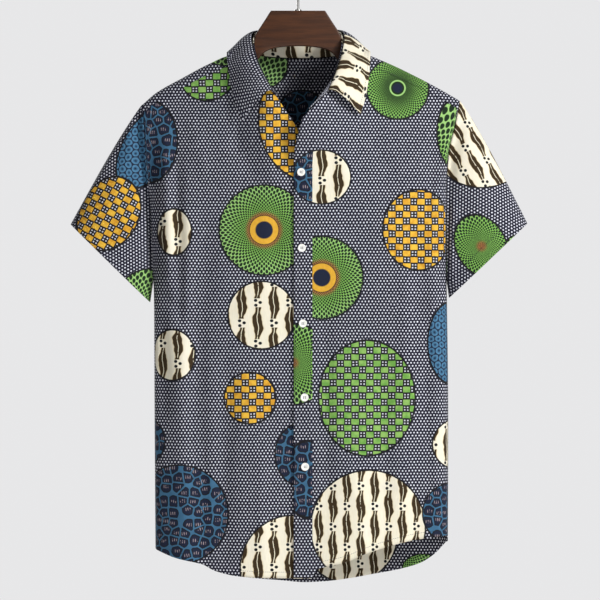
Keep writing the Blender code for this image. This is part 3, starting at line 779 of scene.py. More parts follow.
def draw_rosette(wires: Wires, local: Signal, sun: Signal, core: Signal, share: Signal,
                 warm: Signal) -> tuple:
    """Green net of dark drops that grow outwards from a core, with a gold sun if asked."""
    x, y, _ = wires.split(local)
    far = wires.vector("LENGTH", local)
    turn = wires.math("ARCTAN2", y, x) * (DROP_COUNT / (2.0 * math.pi)) * share
    ring = wires.math("LOGARITHM", wires.math("MAXIMUM", far, 1.0), math.e) * (share * DROP_ROWS)
    drops = []
    for shift in (0.0, 0.5):
        across, along = wires.centred(turn + shift), wires.centred(ring + shift)
        drops.append(wires.vector("LENGTH", wires.join(across / (0.265 + along * 0.14), along / 0.385)))
    net = wires.mix(wires.edge(far, 30.0, 58.0), PALE_GREEN, GRASS)
    net = wires.mix(wires.edge(far - warm, -7.0, 0.0), net, ORANGE)
    colour = wires.mix(wires.edge(wires.least(drops), 0.84, 1.06), net, DARK_GREEN)
    colour = wires.mix(wires.edge(far, 12.0, 36.0) * (1.0 - sun) * 0.75, colour, DARK_GREEN)
    plain = wires.mix(wires.edge(far, 8.9, 9.5), PALE_GREEN, DARK_GREEN)
    plain = wires.mix(wires.edge(far, 6.2, 6.8), plain, INK)
    shine = wires.mix(wires.edge(far, 19.2, 19.9), BLACK, wires.mix(wires.noise(local, 0.2), GOLD, AMBER))
    ragged = wires.math("SINE", turn * 6.28) * 0.5
    shine = wires.mix(wires.edge(far + ragged, 11.6, 12.6), shine, INK)
    inside = wires.edge(far - (11.3 + sun * 9.1), -0.3, 0.3) * core
    return (wires.mix(inside, colour, wires.mix(sun, plain, shine)),)


def draw_disc(wires: Wires, place: Signal, centre: Signal, reach: Signal) -> tuple:
    """Masks of a round patch and of its black outline, and the place from its centre."""
    local = wires.vector("SUBTRACT", place, centre)
    ratio = wires.vector("LENGTH", wires.vector("DIVIDE", local, reach))
    off = (ratio - 1.0) * wires.split(reach)[0] + (wires.noise(place, 0.25) - 0.5) * 1.1
    return wires.edge(off, -0.3, 0.3), wires.edge(abs(off - 0.5), 0.80, 1.40), local


def draw_weave(wires: Wires, place: Signal) -> tuple:
    """Height and tint of a fine plain weave with slubs."""
    x, y, _ = wires.split(place)
    slub = wires.noise(wires.vector("MULTIPLY", place, (1.0, 0.06, 1.0)), 1.4)
    height = wires.math("SINE", x * 12.0) * wires.math("SINE", y * 12.0) * 0.5
    return height + slub * 0.8 + wires.noise(place, 0.035, 3.0) * 6.0, 0.86 + slub * 0.28


VECTOR, FLOAT, COLOUR = "NodeSocketVector", "NodeSocketFloat", "NodeSocketColor"
RECIPES = (
    ("dots", draw_dots, {"Place": VECTOR}, {"Colour": COLOUR}),
    ("check", draw_check, {"Place": VECTOR, "Bright": COLOUR, "Deep": COLOUR}, {"Colour": COLOUR}),
    ("stripe", draw_stripe, {"Place": VECTOR}, {"Colour": COLOUR}),
    ("crackle", draw_crackle, {"Place": VECTOR}, {"Colour": COLOUR}),
    ("cells", draw_cells, {"Place": VECTOR}, {"Colour": COLOUR}),
    ("rosette", draw_rosette,
     {"Local": VECTOR, "Sun": FLOAT, "Core": FLOAT, "Share": FLOAT, "Warm": FLOAT}, {"Colour": COLOUR}),
    ("disc", draw_disc, {"Place": VECTOR, "Centre": VECTOR, "Reach": VECTOR},
     {"Inside": FLOAT, "Rim": FLOAT, "Local": VECTOR}),
    ("weave", draw_weave, {"Place": VECTOR}, {"Height": FLOAT, "Tint": FLOAT}),
)


def build_kit() -> dict:
    """Make the print's node groups once, shared by every panel's cloth."""
    kit = {}
    for name, recipe, inputs, outputs in RECIPES:
        tree = bpy.data.node_groups.new("print_" + name, "ShaderNodeTree")
        for in_out, sockets in (("INPUT", inputs), ("OUTPUT", outputs)):
            for label, kind in sockets.items():
                tree.interface.new_socket(name=label, in_out=in_out, socket_type=kind)
        wires = Wires(tree)
        given = wires.add("NodeGroupInput", {})
        results = recipe(wires, *(given[label] for label in inputs))
        wires.add("NodeGroupOutput", dict(zip(outputs, results)))
        kit[name] = tree
    return kit


class Motif(Enum):
    """The print's repeats."""

    GOLD_CHECK = "gold check"
    GREEN_CHECK = "green check"
    STRIPE = "stripe"
    CRACKLE = "crackle"
    CELLS = "cells"
    SUN = "sun rosette"
    NET = "large net of drops"
    ROSETTE = "rosette"


CHECKS = {Motif.GOLD_CHECK: (GOLD, AMBER), Motif.GREEN_CHECK: (LIME, LEAF)}
# Whether there is a sun, whether there is a core, and how far the warm tint reaches
ROSETTES = {Motif.ROSETTE: (0.0, 1.0, 0.0), Motif.NET: (1.0, 0.0, 10.0), Motif.SUN: (1.0, 1.0, 28.0)}


@dataclass(frozen=True)
class Disc:
    """A round patch of one motif; places and sizes are metres on the panel's own UV map."""

    motif: Motif
    x: float
    z: float
    across: float
    up: float = 0.0
    stretch: float = 1.0
    core: tuple = (0.0, 0.0)

    def colour(self, kit: dict, wires: Wires, place: Signal, local: Signal) -> Signal:
        """Colour of the disc's motif.

        Args:
            kit: the print's groups.
            wires: the material's wires.
            place: place on the panel, in millimetres.
            local: place from the disc's centre.

        Returns:
            The colour.
        """
        if self.motif is Motif.STRIPE:
            place = wires.vector("MULTIPLY", place, (1.0 / self.stretch, 1.0, 1.0))
        if self.motif in CHECKS:
            bright, deep = CHECKS[self.motif]
            return wires.group(kit["check"], Place=local, Bright=bright, Deep=deep)[0]
        if self.motif in ROSETTES:
            sun, core, warm = ROSETTES[self.motif]
            local = wires.vector("SUBTRACT", local, (self.core[0] * MM, self.core[1] * MM, 0.0))
            return wires.group(kit["rosette"], Local=local, Sun=sun, Core=core, Share=self.stretch,
                               Warm=warm)[0]
        return wires.group(kit[self.motif.value], Place=place)[0]


def start_material(name: str, values: dict) -> tuple:
    """Start a material.

    Args:
        name: its name.
        values: constants of its Principled node.

    Returns:
        The material, its wires and its Principled node.
    """
    made = bpy.data.materials.new(name)
    made.use_nodes = True
    shader = made.node_tree.nodes["Principled BSDF"]
    for socket, value in values.items():
        shader.inputs[socket].default_value = value
    return made, Wires(made.node_tree), shader


def build_print(name: str, discs: Sequence[Disc], kit: dict, dull_and_shade: float,
                roughness: float) -> bpy.types.Material:
    """Printed cotton of one panel: a dotted ground with its discs, first disc lowest.

    Args:
        name: the material's name.
        discs: the panel's discs.
        kit: the print's groups.
        dull_and_shade: how far the colours lose saturation and darken, from 0 to 1; the darkening is painted shade for
            the cloth's inner faces.
        roughness: how matt it is.

    Returns:
        The finished material.
    """
    made, wires, shader = start_material(name, {
        "Roughness": roughness, "Sheen Weight": 0.04, "Sheen Roughness": 0.5, "Specular IOR Level": 0.28})
    place = wires.scale(wires.add("ShaderNodeUVMap", {}, uv_map="cut")["UV"], MM)
    colour = wires.group(kit["dots"], Place=place)[0]
    for disc in discs:
        mask = wires.group(kit["disc"], Place=place, Centre=(disc.x * MM, disc.z * MM, 0.0),
                           Reach=(disc.across * MM, (disc.up or disc.across) * MM, FAR))
        colour = wires.mix(mask["Inside"], colour, disc.colour(kit, wires, place, mask["Local"]))
        colour = wires.mix(mask["Rim"], colour, BLACK)
    weave = wires.group(kit["weave"], Place=place)
    # The value drop paints shade on the cloth's inner faces; the saturation drop greys the print on the reverse.
    tint = wires.add("ShaderNodeHueSaturation", {
        "Color": colour, "Value": weave["Tint"] * (1.0 - 0.45 * dull_and_shade), "Saturation": 1.0 - 0.25 * dull_and_shade})
    wires.feed(shader.inputs["Base Color"], tint[0])
    wires.bump(shader, weave["Height"], 0.35, 0.0004)
    return made


# Cloth shells


@dataclass(frozen=True)
class Finishes:
    """Materials shared by the pieces."""

    kit: dict
    thread: bpy.types.Material
    button: bpy.types.Material
    wood: bpy.types.Material
    steel: bpy.types.Material


def link_object(name: str, bm: bmesh.types.BMesh, finishes: Sequence[bpy.types.Material]) -> bpy.types.Object:
    """Turn a bmesh into a smooth object that rides the body.

    Args:
        name: the object's name.
        bm: its mesh, freed here.
        finishes: its materials, first one first.

    Returns:
        The object.
    """
    mesh = bpy.data.meshes.new(name)
    bm.to_mesh(mesh)
    bm.free()
    mesh.shade_smooth()
    for finish in finishes:
        mesh.materials.append(finish)
    made = bpy.data.objects.new(name, mesh)
    bpy.context.scene.collection.objects.link(made)
    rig.ride(made, "root")
    LOG.info("%s: %d faces", name, len(mesh.polygons))
    return made


@dataclass
class ClothShell:
    """A thin sheet of cloth shaped from a grid, with its cut as a UV map in metres."""

    name: str
    columns: int
    rows: int
    place: Callable[[float, float], Vector]
    flat: Callable[[float, float, Vector, tuple], tuple]
    outward: Callable[[Vector], Vector]
    discs: tuple
    closed: bool = False
    thickness: float = 0.0007

    def build(self, finishes: Finishes) -> bpy.types.Object:
        """Shape, thicken and dress the sheet.

        Args:
            finishes: shared materials.

        Returns:
            The object.
        """
        bm = bmesh.new()
        cut = bm.loops.layers.uv.new("cut")
        bmesh.ops.create_grid(bm, x_segments=self.columns, y_segments=self.rows, size=0.5)
        spots = {}
        for vert in bm.verts:
            u, v = vert.co.x + 0.5, 0.5 - vert.co.y
            vert.co = self.place(0.0 if self.closed and u > 0.9999 else u, v)
            spots[vert] = (u, v, vert.co.copy())
        for face in bm.faces:
            middle = tuple(sum(spots[vert][k] for vert in face.verts) / len(face.verts) for k in (0, 1))
            for loop in face.loops:
                loop[cut].uv = self.flat(*spots[loop.vert], middle)
        if self.closed:
            bmesh.ops.remove_doubles(bm, verts=bm.verts, dist=0.000005)
        bm.normal_update()
        if sum(face.normal.dot(self.outward(face.calc_center_median())) for face in bm.faces) < 0.0:
            bmesh.ops.reverse_faces(bm, faces=bm.faces)
        shown = build_print(self.name + "_print", self.discs, finishes.kit, 0.0, 0.82)
        # The inner faces get a darker, greyer copy of the print: its darkening is painted shade.
        inner = build_print(self.name + "_reverse", self.discs, finishes.kit, 0.2, 0.9)
        made = link_object(self.name + "_cloth", bm, (shown, inner))
        wall = made.modifiers.new("thickness", 'SOLIDIFY')
        wall.thickness = self.thickness
        wall.offset = -1.0
        wall.material_offset = 1
        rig.replaces(made, self.name)
        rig.slot(made, "print_cotton")
        return made


def walk(points: Sequence[Vector]) -> list:
    """Distance along a row of points, from its first."""
    far = [0.0]
    for before, after in zip(points, points[1:]):
        far.append(far[-1] + (after - before).length)
    return far


@dataclass
class FrontPanel:
    """One front: straight on its free edge, curved at the hem, sewn to yoke and sleeve."""

    side: Side
    centre_share: float = 0.26

    def hem_curve(self) -> Curve:
        """The panel's hem."""
        return FORM.hem_left if self.side is Side.LEFT else FORM.hem_right

    def column(self, u: float) -> float:
        """Column of a place outside the neck's corner."""
        share = max((u - self.centre_share) / (1.0 - self.centre_share), 0.0)
        return blend(FORM.neck_corner, 1.0, share ** 0.86)

    def x_at(self, u: float, z: float) -> float:
        """x of a place across the panel; 0 is the free edge and 1 the side."""
        sign = float(self.side.value)
        edge = FORM.front_edge(self.side, z)
        corner = FORM.side_x(sign * FORM.neck_corner, z)
        if u <= self.centre_share:
            return blend(edge, corner, u / self.centre_share)
        return FORM.side_x(sign * self.column(u), z)

    def top_z(self, u: float) -> float:
        """Height of the panel's upper edge."""
        sign = float(self.side.value)
        q = self.column(u)
        z = FORM.shoulder_z
        for _ in range(4):
            z = FORM.shoulder(FORM.side_x(sign * q, z)) - FORM.forward_drop(q) - 0.0009
        if u >= self.centre_share:
            return z
        neck_z = FORM.neck_z[self.side]
        start = self.x_at(0.0, neck_z)
        across = (self.x_at(u, z) - start) / (self.x_at(self.centre_share, z) - start)
        return blend(neck_z, z, min(max(across, 0.0), 1.0) if u > 0.0 else 0.0)

    def place(self, u: float, v: float) -> Vector:
        """Point of the panel; v runs down from the upper edge."""
        bottom = self.hem_curve()(self.x_at(u, FORM.hem_z))
        top = self.top_z(u)
        z = blend(top + 0.003 * smooth((u - self.centre_share) / 0.04), bottom, v ** 1.1)
        x = self.x_at(u, z)
        tucked = smooth((z - top) / 0.0008)
        point = FORM.front_point(self.side, x, z, -FORM.seam_tuck * tucked)
        point.y -= FORM.hem_lift(z, bottom)
        if u > 0.999:
            point.y = min(point.y, -FORM.side_gap)
        return point

    def build(self, finishes: Finishes) -> bpy.types.Object:
        """Make the panel's cloth."""
        discs = LEFT_FRONT_DISCS if self.side is Side.LEFT else RIGHT_FRONT_DISCS
        return ClothShell(
            "front_" + self.side.word, 72, 150, self.place, lambda u, v, point, middle: body_flat(point),
            lambda point: Vector((0, -1, 0)), discs).build(finishes)


class BackPanel:
    """The back below the yoke, with a longer curved tail."""

    def place(self, u: float, v: float) -> Vector:
        """Point of the back; u runs from the wearer's right to the left."""
        q = math.sin((u - 0.5) * math.pi * 0.98) / math.sin(math.pi * 0.49)
        q = blend(2.0 * u - 1.0, q, 0.55)
        bottom = FORM.hem_back(FORM.side_x(q, FORM.hem_z))
        z = blend(FORM.yoke_back_z + 0.003, bottom, v)
        tucked = smooth((z - FORM.yoke_back_z + 0.0012) / 0.0010)
        point = FORM.point(FORM.side_x(q, z), z, 1, -FORM.seam_tuck * tucked)
        point.y += FORM.hem_lift(z, bottom)
        if u < 0.001 or u > 0.999:
            point.y = max(point.y, FORM.side_gap)
        return point

    def build(self, finishes: Finishes) -> bpy.types.Object:
        """Make the back's cloth."""
        return ClothShell(
            "back", 140, 140, self.place, lambda u, v, point, middle: body_flat(point),
            lambda point: Vector((0, 1, 0)), BACK_DISCS).build(finishes)


class NeckLine:
    """The neck edge that the yoke, the fronts and the collar share."""

    front_share = 0.50
    back_share = 0.27

    def __init__(self, fronts: dict) -> None:
        """Keep the two fronts, whose upper edges carry the neck.

        Args:
            fronts: the panels by side.
        """
        self.fronts = fronts

    def ring(self, around: float) -> Vector:
        """Neck edge at a place from -1, the right front, over 0, the back, to 1."""
        side = Side.LEFT if around > 0 else Side.RIGHT
        sign = float(side.value)
        share = abs(around)
        corner = sign * FORM.neck_corner
        if share > self.front_share:
            along = (share - self.front_share) / (1.0 - self.front_share)
            top = self.fronts[side].top_z(self.fronts[side].centre_share)
            z = blend(top, FORM.neck_z[side], along)
            x = blend(FORM.side_x(corner, top), FORM.front_edge(side, FORM.neck_z[side]), along)
            return FORM.front_point(side, x, z)
        if share > self.back_share:
            turn = (share - self.back_share) / (self.front_share - self.back_share)
            back_z = FORM.back_neck_z + FORM.back_neck_rise
            travel = blend(FORM.travel_to(corner, back_z, 1), FORM.yoke_start(corner), turn)
            return FORM.ridge_point(corner, travel)
        q = corner * share / self.back_share
        return FORM.ridge_point(q, FORM.yoke_start(q * 0.999))


class Yoke:
    """Shoulder piece: back neck, over both shoulders to the fronts, down to the back seam."""

    side_share = 0.29
    turn_share = 0.065
    columns = 200
    back_shift = 0.2192
    front_shift = 0.00485

    def station(self, u: float) -> tuple:
        """Column and travel of the yoke's upper edge; u runs right to left."""
        mirrored = u > 0.5
        t = 1.0 - u if mirrored else u
        corner = FORM.neck_corner
        if t < self.side_share:
            q = blend(1.0, corner, (t / self.side_share) ** 1.12)
            travel = FORM.yoke_start(q)
        elif t < self.side_share + self.turn_share:
            q = corner
            turn = (t - self.side_share) / self.turn_share
            back_z = FORM.back_neck_z + FORM.back_neck_rise
            travel = blend(FORM.yoke_start(corner), FORM.travel_to(corner, back_z, 1), turn)
        else:
            start = self.side_share + self.turn_share
            q = corner * (0.5 - t) / (0.5 - start)
            travel = FORM.yoke_start(q * 0.999)
        return (q if mirrored else -q), travel

    def __init__(self) -> None:
        """Measure the upper edge so that the lower columns spread with it."""
        stations = [self.station(k / self.columns) for k in range(self.columns + 1)]
        self.span = walk([FORM.ridge_point(q, travel) for q, travel in stations])
        self.corner = round(self.side_share * self.columns)

    def lower_q(self, u: float) -> float:
        """Column at which a station meets the back seam."""
        index = round(u * self.columns)
        if index <= self.corner or index >= self.columns - self.corner:
            return self.station(u)[0]
        first, last = self.span[self.corner], self.span[self.columns - self.corner]
        share = (self.span[index] - first) / (last - first)
        return blend(-FORM.neck_corner, FORM.neck_corner, share)

    def travel(self, u: float, v: float) -> tuple:
        """Column and travel of any point of the yoke."""
        q_top, travel_top = self.station(u)
        q_low = self.lower_q(u)
        travel_low = FORM.travel_to(q_low, FORM.yoke_back_z, 1)
        travel = blend(travel_top, travel_low, v ** 1.15)
        share = smooth((travel - travel_top) / (travel_low - travel_top))
        return blend(q_top, q_low, share), travel

    def place(self, u: float, v: float) -> Vector:
        """Point of the yoke; v runs from the upper edge down the back."""
        q, travel = self.travel(u, v)
        return FORM.ridge_point(q, travel)

    def build(self, finishes: Finishes) -> bpy.types.Object:
        """Make the yoke's cloth."""

        def flat(u: float, v: float, point: Vector, middle: tuple) -> tuple:
            """Place on the print, in line with the front or with the back."""
            travel = self.travel(u, v)[1]
            if self.travel(*middle)[1] > 0.0:
                return point.x, travel - FORM.shoulder(point.x) - self.back_shift
            return point.x, FORM.shoulder(point.x) + travel + self.front_shift

        return ClothShell("yoke", self.columns, 56, self.place, flat,
                          lambda point: Vector((0, 0.5, 1)), YOKE_DISCS).build(finishes)


@dataclass
class Sleeve:
    """A short set-in sleeve from the armhole to its hemmed cuff."""

    side: Side
    half_depth: float = 0.036
    bulge: float = 0.006
    gap: float = 0.0006
    hem: float = 0.022

    columns, rows = 128, 60
    rear_shift = 0.37
    dip_from, dip_middle, dip_width = 0.008, 0.011, 0.013
    armhole_dips = {Side.RIGHT: 0.0140, Side.LEFT: 0.0030}
    tips = {Side.RIGHT: (-0.3146, -0.3673), Side.LEFT: (0.3174, -0.3659)}
    notches = {Side.RIGHT: (-0.2045, -0.4750), Side.LEFT: (0.2090, -0.4690)}
    creases = {
        Side.RIGHT: ((0.10, 0.16, 0.10, -0.0030), (0.20, 0.50, 0.07, -0.0022), (0.33, 0.40, 0.06, 0.0022),
                     (0.42, 0.70, 0.06, -0.0022), (0.66, 0.50, 0.08, -0.0026), (0.80, 0.40, 0.08, 0.0024),
                     (0.92, 0.50, 0.06, -0.0018)),
        Side.LEFT: ((0.06, 0.50, 0.07, -0.0024), (0.16, 0.30, 0.09, 0.0022), (0.28, 0.55, 0.08, -0.0026),
                    (0.40, 0.60, 0.06, 0.0020), (0.60, 0.40, 0.09, -0.0028), (0.74, 0.60, 0.07, 0.0022),
                    (0.88, 0.40, 0.08, -0.0024)),
    }

    def on_grain(self, x: float, z: float) -> tuple:
        """Place on the sleeve's own cut, whose grain runs down the arm."""
        turn = -self.side.value * math.radians(29.0)
        x, z = x - self.side.value * 0.22, z + 0.30
        return x * math.cos(turn) - z * math.sin(turn), x * math.sin(turn) + z * math.cos(turn)

    def ring_point(self, u: float) -> Vector:
        """Armhole point; u runs from the shoulder down the front and up the back."""
        sign = float(self.side.value)
        share = 1.0 - abs(2.0 * u - 1.0)
        travel = blend(0.0, FORM.travel_to(sign, FORM.underarm_z, -1), share ** 1.35)
        point = FORM.ridge_point(sign, travel if u <= 0.5 else -travel)
        point.y *= smooth((1.0 - share) / 0.03)
        point.x += sign * self.gap
        return point

    def cuff_point(self, u: float) -> Vector:
        """Cuff point at the same place round."""
        angle = 2.0 * math.pi * u
        across = math.sin(angle)
        tip, notch = self.tips[self.side], self.notches[self.side]
        share = (math.cos(angle) + 1.0) / 2.0
        y = -math.copysign(abs(across) ** 0.85, across) * self.half_depth
        return Vector((blend(notch[0], tip[0], share), y, blend(notch[1], tip[1], share)))

    def place(self, u: float, v: float) -> Vector:
        """Point of the sleeve; v runs from the armhole to the cuff."""
        start, end = self.ring_point(u), self.cuff_point(u)
        length = (end - start).length
        point = start.lerp(end, v)
        round_out = self.bulge * math.sin(math.pi * max(v, 0.0) ** 0.7)
        point.y += math.copysign(round_out, point.y) * min(abs(point.y) / 0.01, 1.0)
        outer = max(math.cos(2.0 * math.pi * u), 0.0)
        point.x += self.side.value * 0.6 * round_out * outer
        if 0.0 < u < 0.5:
            reach = v * length
            dip = smooth(reach / self.dip_from) * math.exp(-((reach - self.dip_middle) / self.dip_width) ** 2)
            dip *= math.sin(2.0 * math.pi * u) ** 0.5
            point.y += min(self.armhole_dips[self.side] * dip, 0.6 * abs(point.y))
        out = Vector((0.3 * self.side.value * outer, math.copysign(1.0, point.y), 0.0))
        move = 0.0
        for where, middle, width, depth in self.creases[self.side]:
            near = math.exp(-((u - where - 0.05 * (v - 0.5)) / (width * 0.5)) ** 2)
            move += depth * near * math.sin(math.pi * min(v * 0.9 + 0.12, 1.0)) * (0.4 + middle)
        point += out * move * min(abs(point.y) / 0.012, 1.0)
        turned = 0.0005 * smooth((v * length - (length - self.hem)) / 0.0012)
        return point + out * turned * min(abs(point.y) / 0.008, 1.0)

    def build(self, finishes: Finishes) -> bpy.types.Object:
        """Make the sleeve's cloth."""
        discs = LEFT_SLEEVE_DISCS if self.side is Side.LEFT else RIGHT_SLEEVE_DISCS
        columns, rows, quarter = self.columns, self.rows, self.columns // 4
        rounds = {}

        def flat(u: float, v: float, point: Vector, middle: tuple) -> tuple:
            """Place on the cut, with what the tube's roundness adds from its front line."""
            row = round(v * rows)
            if row not in rounds:
                rounds[row] = [self.place(k / columns % 1.0, row / rows) for k in range(columns + 1)]
            ring = rounds[row]
            start = quarter if middle[0] < 0.5 else 3 * quarter
            end = round(u * columns)
            step = 1 if end > start else -1
            line = [ring[k] for k in range(start, end + step, step)]
            seen = walk([Vector((spot.x, 0.0, spot.z)) for spot in line])[-1]
            extra = walk(line)[-1] - seen
            far = ring[2 * quarter if (end > start) == (start == quarter) else 0] - ring[start]
            way = Vector((far.x, far.z)).normalized() * extra
            x, z = self.on_grain(point.x + way.x, point.z + way.y)
            return x, z + (0.0 if start == quarter else self.rear_shift)

        def turned(disc: Disc) -> Disc:
            """The disc, placed on the cut."""
            rear = self.rear_shift if disc.z > -0.15 else 0.0
            x, z = self.on_grain(disc.x, disc.z - rear)
            return replace(disc, x=x, z=z + rear)

        centre = Vector((self.side.value * 0.235, 0.0, -0.34))
        return ClothShell("sleeve_" + self.side.word, columns, rows, self.place, flat,
                          lambda point: point - centre, tuple(turned(disc) for disc in discs),
                          closed=True).build(finishes)


def placket_point(x: float, z: float, lift: float) -> Vector:
    """Point of the placket's face, which ripples a little, moved out by lift."""
    ripple = 0.00025 * math.sin(z * 150.0) + 0.0003 * math.sin(z * 61.0 + 1.0)
    return FORM.front_point(Side.LEFT, x, z, FORM.layer + ripple + lift)


@dataclass
class Placket:
    """The folded band down the left front's edge."""

    panel: FrontPanel
    width: float = 0.026

    def place(self, u: float, v: float) -> Vector:
        """Point of the band; u runs from the free edge inwards."""
        bottom = self.panel.hem_curve()(self.panel.x_at(0.0, FORM.hem_z))
        top = self.panel.place(0.0, 0.0).z
        inner_z = blend(FORM.neck_z[Side.LEFT], self.panel.top_z(self.panel.centre_share), 0.42)
        z = blend(blend(top, inner_z, u), bottom, v)
        x = FORM.front_edge(Side.LEFT, z) + self.width * u
        return placket_point(x, z, -0.0007 * (1.0 - smooth(min(u, 1.0 - u) / 0.05)))

    def build(self, finishes: Finishes) -> bpy.types.Object:
        """Make the placket's cloth."""
        return ClothShell("placket", 20, 200, self.place, lambda u, v, point, middle: (point.x, point.z),
                          lambda point: Vector((0, -1, 0)), PLACKET_DISCS,
                          thickness=0.0010).build(finishes)


class CollarForm:
    """Roll line and outer edge of the collar."""

    roll_rows = (
        (-0.0345, -0.0560, -0.1860), (-0.0400, -0.0550, -0.1760), (-0.0460, -0.0520, -0.1645),
        (-0.0530, -0.0430, -0.1493), (-0.0590, -0.0280, -0.1313), (-0.0620, -0.0060, -0.1110),
        (-0.0570, 0.0220, -0.1000), (-0.0350, 0.0440, -0.0985), (0.0000, 0.0510, -0.0985),
        (0.0350, 0.0440, -0.0980), (0.0560, 0.0220, -0.0990), (0.0610, -0.0060, -0.1090),
        (0.0580, -0.0280, -0.1330), (0.0535, -0.0430, -0.1490), (0.0490, -0.0520, -0.1640),
        (0.0445, -0.0550, -0.1750), (0.0400, -0.0560, -0.1860),
    )
    edge_rows = (
        (-0.0773, -0.2266, -1), (-0.0856, -0.2086, -1), (-0.0905, -0.1880, -1), (-0.0940, -0.1680, -1),
        (-0.0968, -0.1480, -1), (-0.0985, -0.1290, 0), (-0.0900, -0.1380, 1), (-0.0520, -0.1470, 1),
        (0.0000, -0.1490, 1), (0.0530, -0.1470, 1), (0.0920, -0.1370, 1), (0.1000, -0.1280, 0),
        (0.0990, -0.1480, -1), (0.0985, -0.1600, -1), (0.0965, -0.1750, -1), (0.0925, -0.1960, -1),
        (0.0860, -0.2170, -1),
    )
    clear = 0.0050
    arch = 0.0060
    roll_lift = 0.0032
    stand_lift = 0.0026

    def __init__(self, neck: NeckLine) -> None:
        """Keep the neck edge the collar is sewn to."""
        self.neck = neck

    @staticmethod
    def along(rows: Sequence[tuple], share: float) -> list:
        """Smooth row between a table's rows, by Catmull-Rom spans."""
        place = share * (len(rows) - 1)
        index = min(int(place), len(rows) - 2)
        t = place - index
        before, start = rows[max(index - 1, 0)], rows[index]
        end, after = rows[index + 1], rows[min(index + 2, len(rows) - 1)]
        return [0.5 * (2 * b + (c - a) * t + (2 * a - 5 * b + 4 * c - d) * t * t
                       + (3 * b - a - 3 * c + d) * t ** 3)
                for a, b, c, d in zip(before, start, end, after)]

    def roll(self, share: float) -> Vector:
        """Point of the roll line."""
        return Vector(self.along(self.roll_rows, share))

    def outer(self, share: float) -> Vector:
        """Point of the fall's outer edge."""
        x, z, side = self.along(self.edge_rows, share)
        side = min(max(side, -1.0), 1.0)
        low = min(z, FORM.shoulder(x) - 0.001) - 0.004
        reach = FORM.depth(x, low, -1 if side < 0 else 1, False) + self.clear
        return Vector((x, side * reach, z))

    def keep_clear(self, point: Vector) -> Vector:
        """Move a collar point out to clear the body's outer face."""
        side = -1 if point.y < 0 else 1
        if abs(point.y) < FORM.ridge_radius + FORM.wall:
            point.z = max(point.z, FORM.shoulder(point.x) + self.clear)
        if FORM.shoulder(point.x) + self.clear - point.z <= 0.0:
            return point
        least = FORM.depth(point.x, point.z - 0.004, side, False) + self.clear
        if abs(point.y) < least:
            point.y = side * least
        return point

    def stand_point(self, around: float, v: float) -> Vector:
        """Point of the stand; v runs up from the neck seam to the roll line."""
        inward = smooth((abs(around) - 0.35) / 0.25)
        away = Vector((-math.copysign(inward, around), 0, 1)).normalized()
        low = self.neck.ring(around) + away * self.stand_lift
        return low.lerp(self.roll((around + 1.0) / 2.0), v)

    def fall_point(self, around: float, v: float) -> Vector:
        """Point of the fall; v runs out from the roll line to the edge."""
        share = (around + 1.0) / 2.0
        roll = self.roll(share)
        out = Vector((roll.x, roll.y, 0)).normalized()
        roll = roll + out * self.roll_lift + Vector((0, 0, self.roll_lift * 0.6))
        flat_share = 0.75 * math.exp(-((abs(around) - 0.42) / 0.13) ** 2)
        arch = self.arch * math.sin(math.pi * max(v, 0.0) ** 0.7) * (1.0 - flat_share)
        point = roll.lerp(self.outer(share), v) + (out + Vector((0, 0, 0.7))) * arch
        return self.keep_clear(point)


@dataclass
class Collar:
    """Stand and turned-down fall of the shirt collar."""

    form: CollarForm

    columns = 160

    def around_at(self, u: float) -> float:
        """Place round the neck for a place along the grid, as the solids space it."""
        around = 2.0 * u - 1.0
        share = abs(around)
        if share < 0.30:
            made = share / 0.30 * 0.27
        elif share < 0.55:
            made = blend(0.27, 0.50, (share - 0.30) / 0.25)
        else:
            made = blend(0.50, 1.0, (share - 0.55) / 0.45)
        return math.copysign(made, around)

    def build(self, finishes: Finishes) -> list:
        """Make the stand and the fall."""
        arounds = [self.around_at(k / self.columns) for k in range(self.columns + 1)]
        middle = walk([self.form.fall_point(around, 0.5) for around in arounds])
        across = [walk([self.form.fall_point(around, row / 15) for row in range(16)])[-1]
                  for around in arounds]

        def fall_flat(u: float, v: float, point: Vector, _: tuple) -> tuple:
            """Place on the fall's cut: along its middle line and out from the roll."""
            index = round(u * self.columns)
            return middle[index] - middle[self.columns // 2], v * across[index]

        stand = ClothShell(
            "collar_stand", 120, 12, lambda u, v: self.form.stand_point(self.around_at(u), 1.0 - v),
            lambda u, v, point, middle: (self.around_at(u) * 0.21, 0.030 * (1.0 - v)),
            lambda point: Vector((point.x, point.y, 0)), STAND_DISCS, thickness=0.0011).build(finishes)
        fall = ClothShell(
            "collar_fall", self.columns, 30, lambda u, v: self.form.fall_point(self.around_at(u), v),
            fall_flat, lambda point: Vector((point.x, point.y, 0.02)), FALL_DISCS,
            thickness=0.0012).build(finishes)
        return [stand, fall]


# Discs of the print: motif, x, z, half width, half height, stretch, core

RIGHT_FRONT_DISCS = (
    Disc(Motif.GREEN_CHECK, -0.126, -0.158, 0.039),
    Disc(Motif.CRACKLE, -0.207, -0.253, 0.040, 0.056),
    Disc(Motif.STRIPE, -0.1712, -0.3787, 0.0245, 0.0315, 1.15),
    Disc(Motif.SUN, -0.0465, -0.376, 0.0614),
    Disc(Motif.GOLD_CHECK, 0.018, -0.224, 0.0717, 0.084),
    Disc(Motif.STRIPE, -0.050, -0.493, 0.046, 0.0, 1.15),
    Disc(Motif.STRIPE, -0.1735, -0.548, 0.0315, 0.0345, 1.15),
    Disc(Motif.GOLD_CHECK, -0.066, -0.607, 0.035),
    Disc(Motif.CRACKLE, -0.215, -0.667, 0.030),
    Disc(Motif.CRACKLE, -0.164, -0.7675, 0.0676),
    Disc(Motif.CRACKLE, 0.007, -0.685, 0.038, 0.0437),
    Disc(Motif.STRIPE, -0.007, -0.841, 0.072, 0.0, 1.15),
)
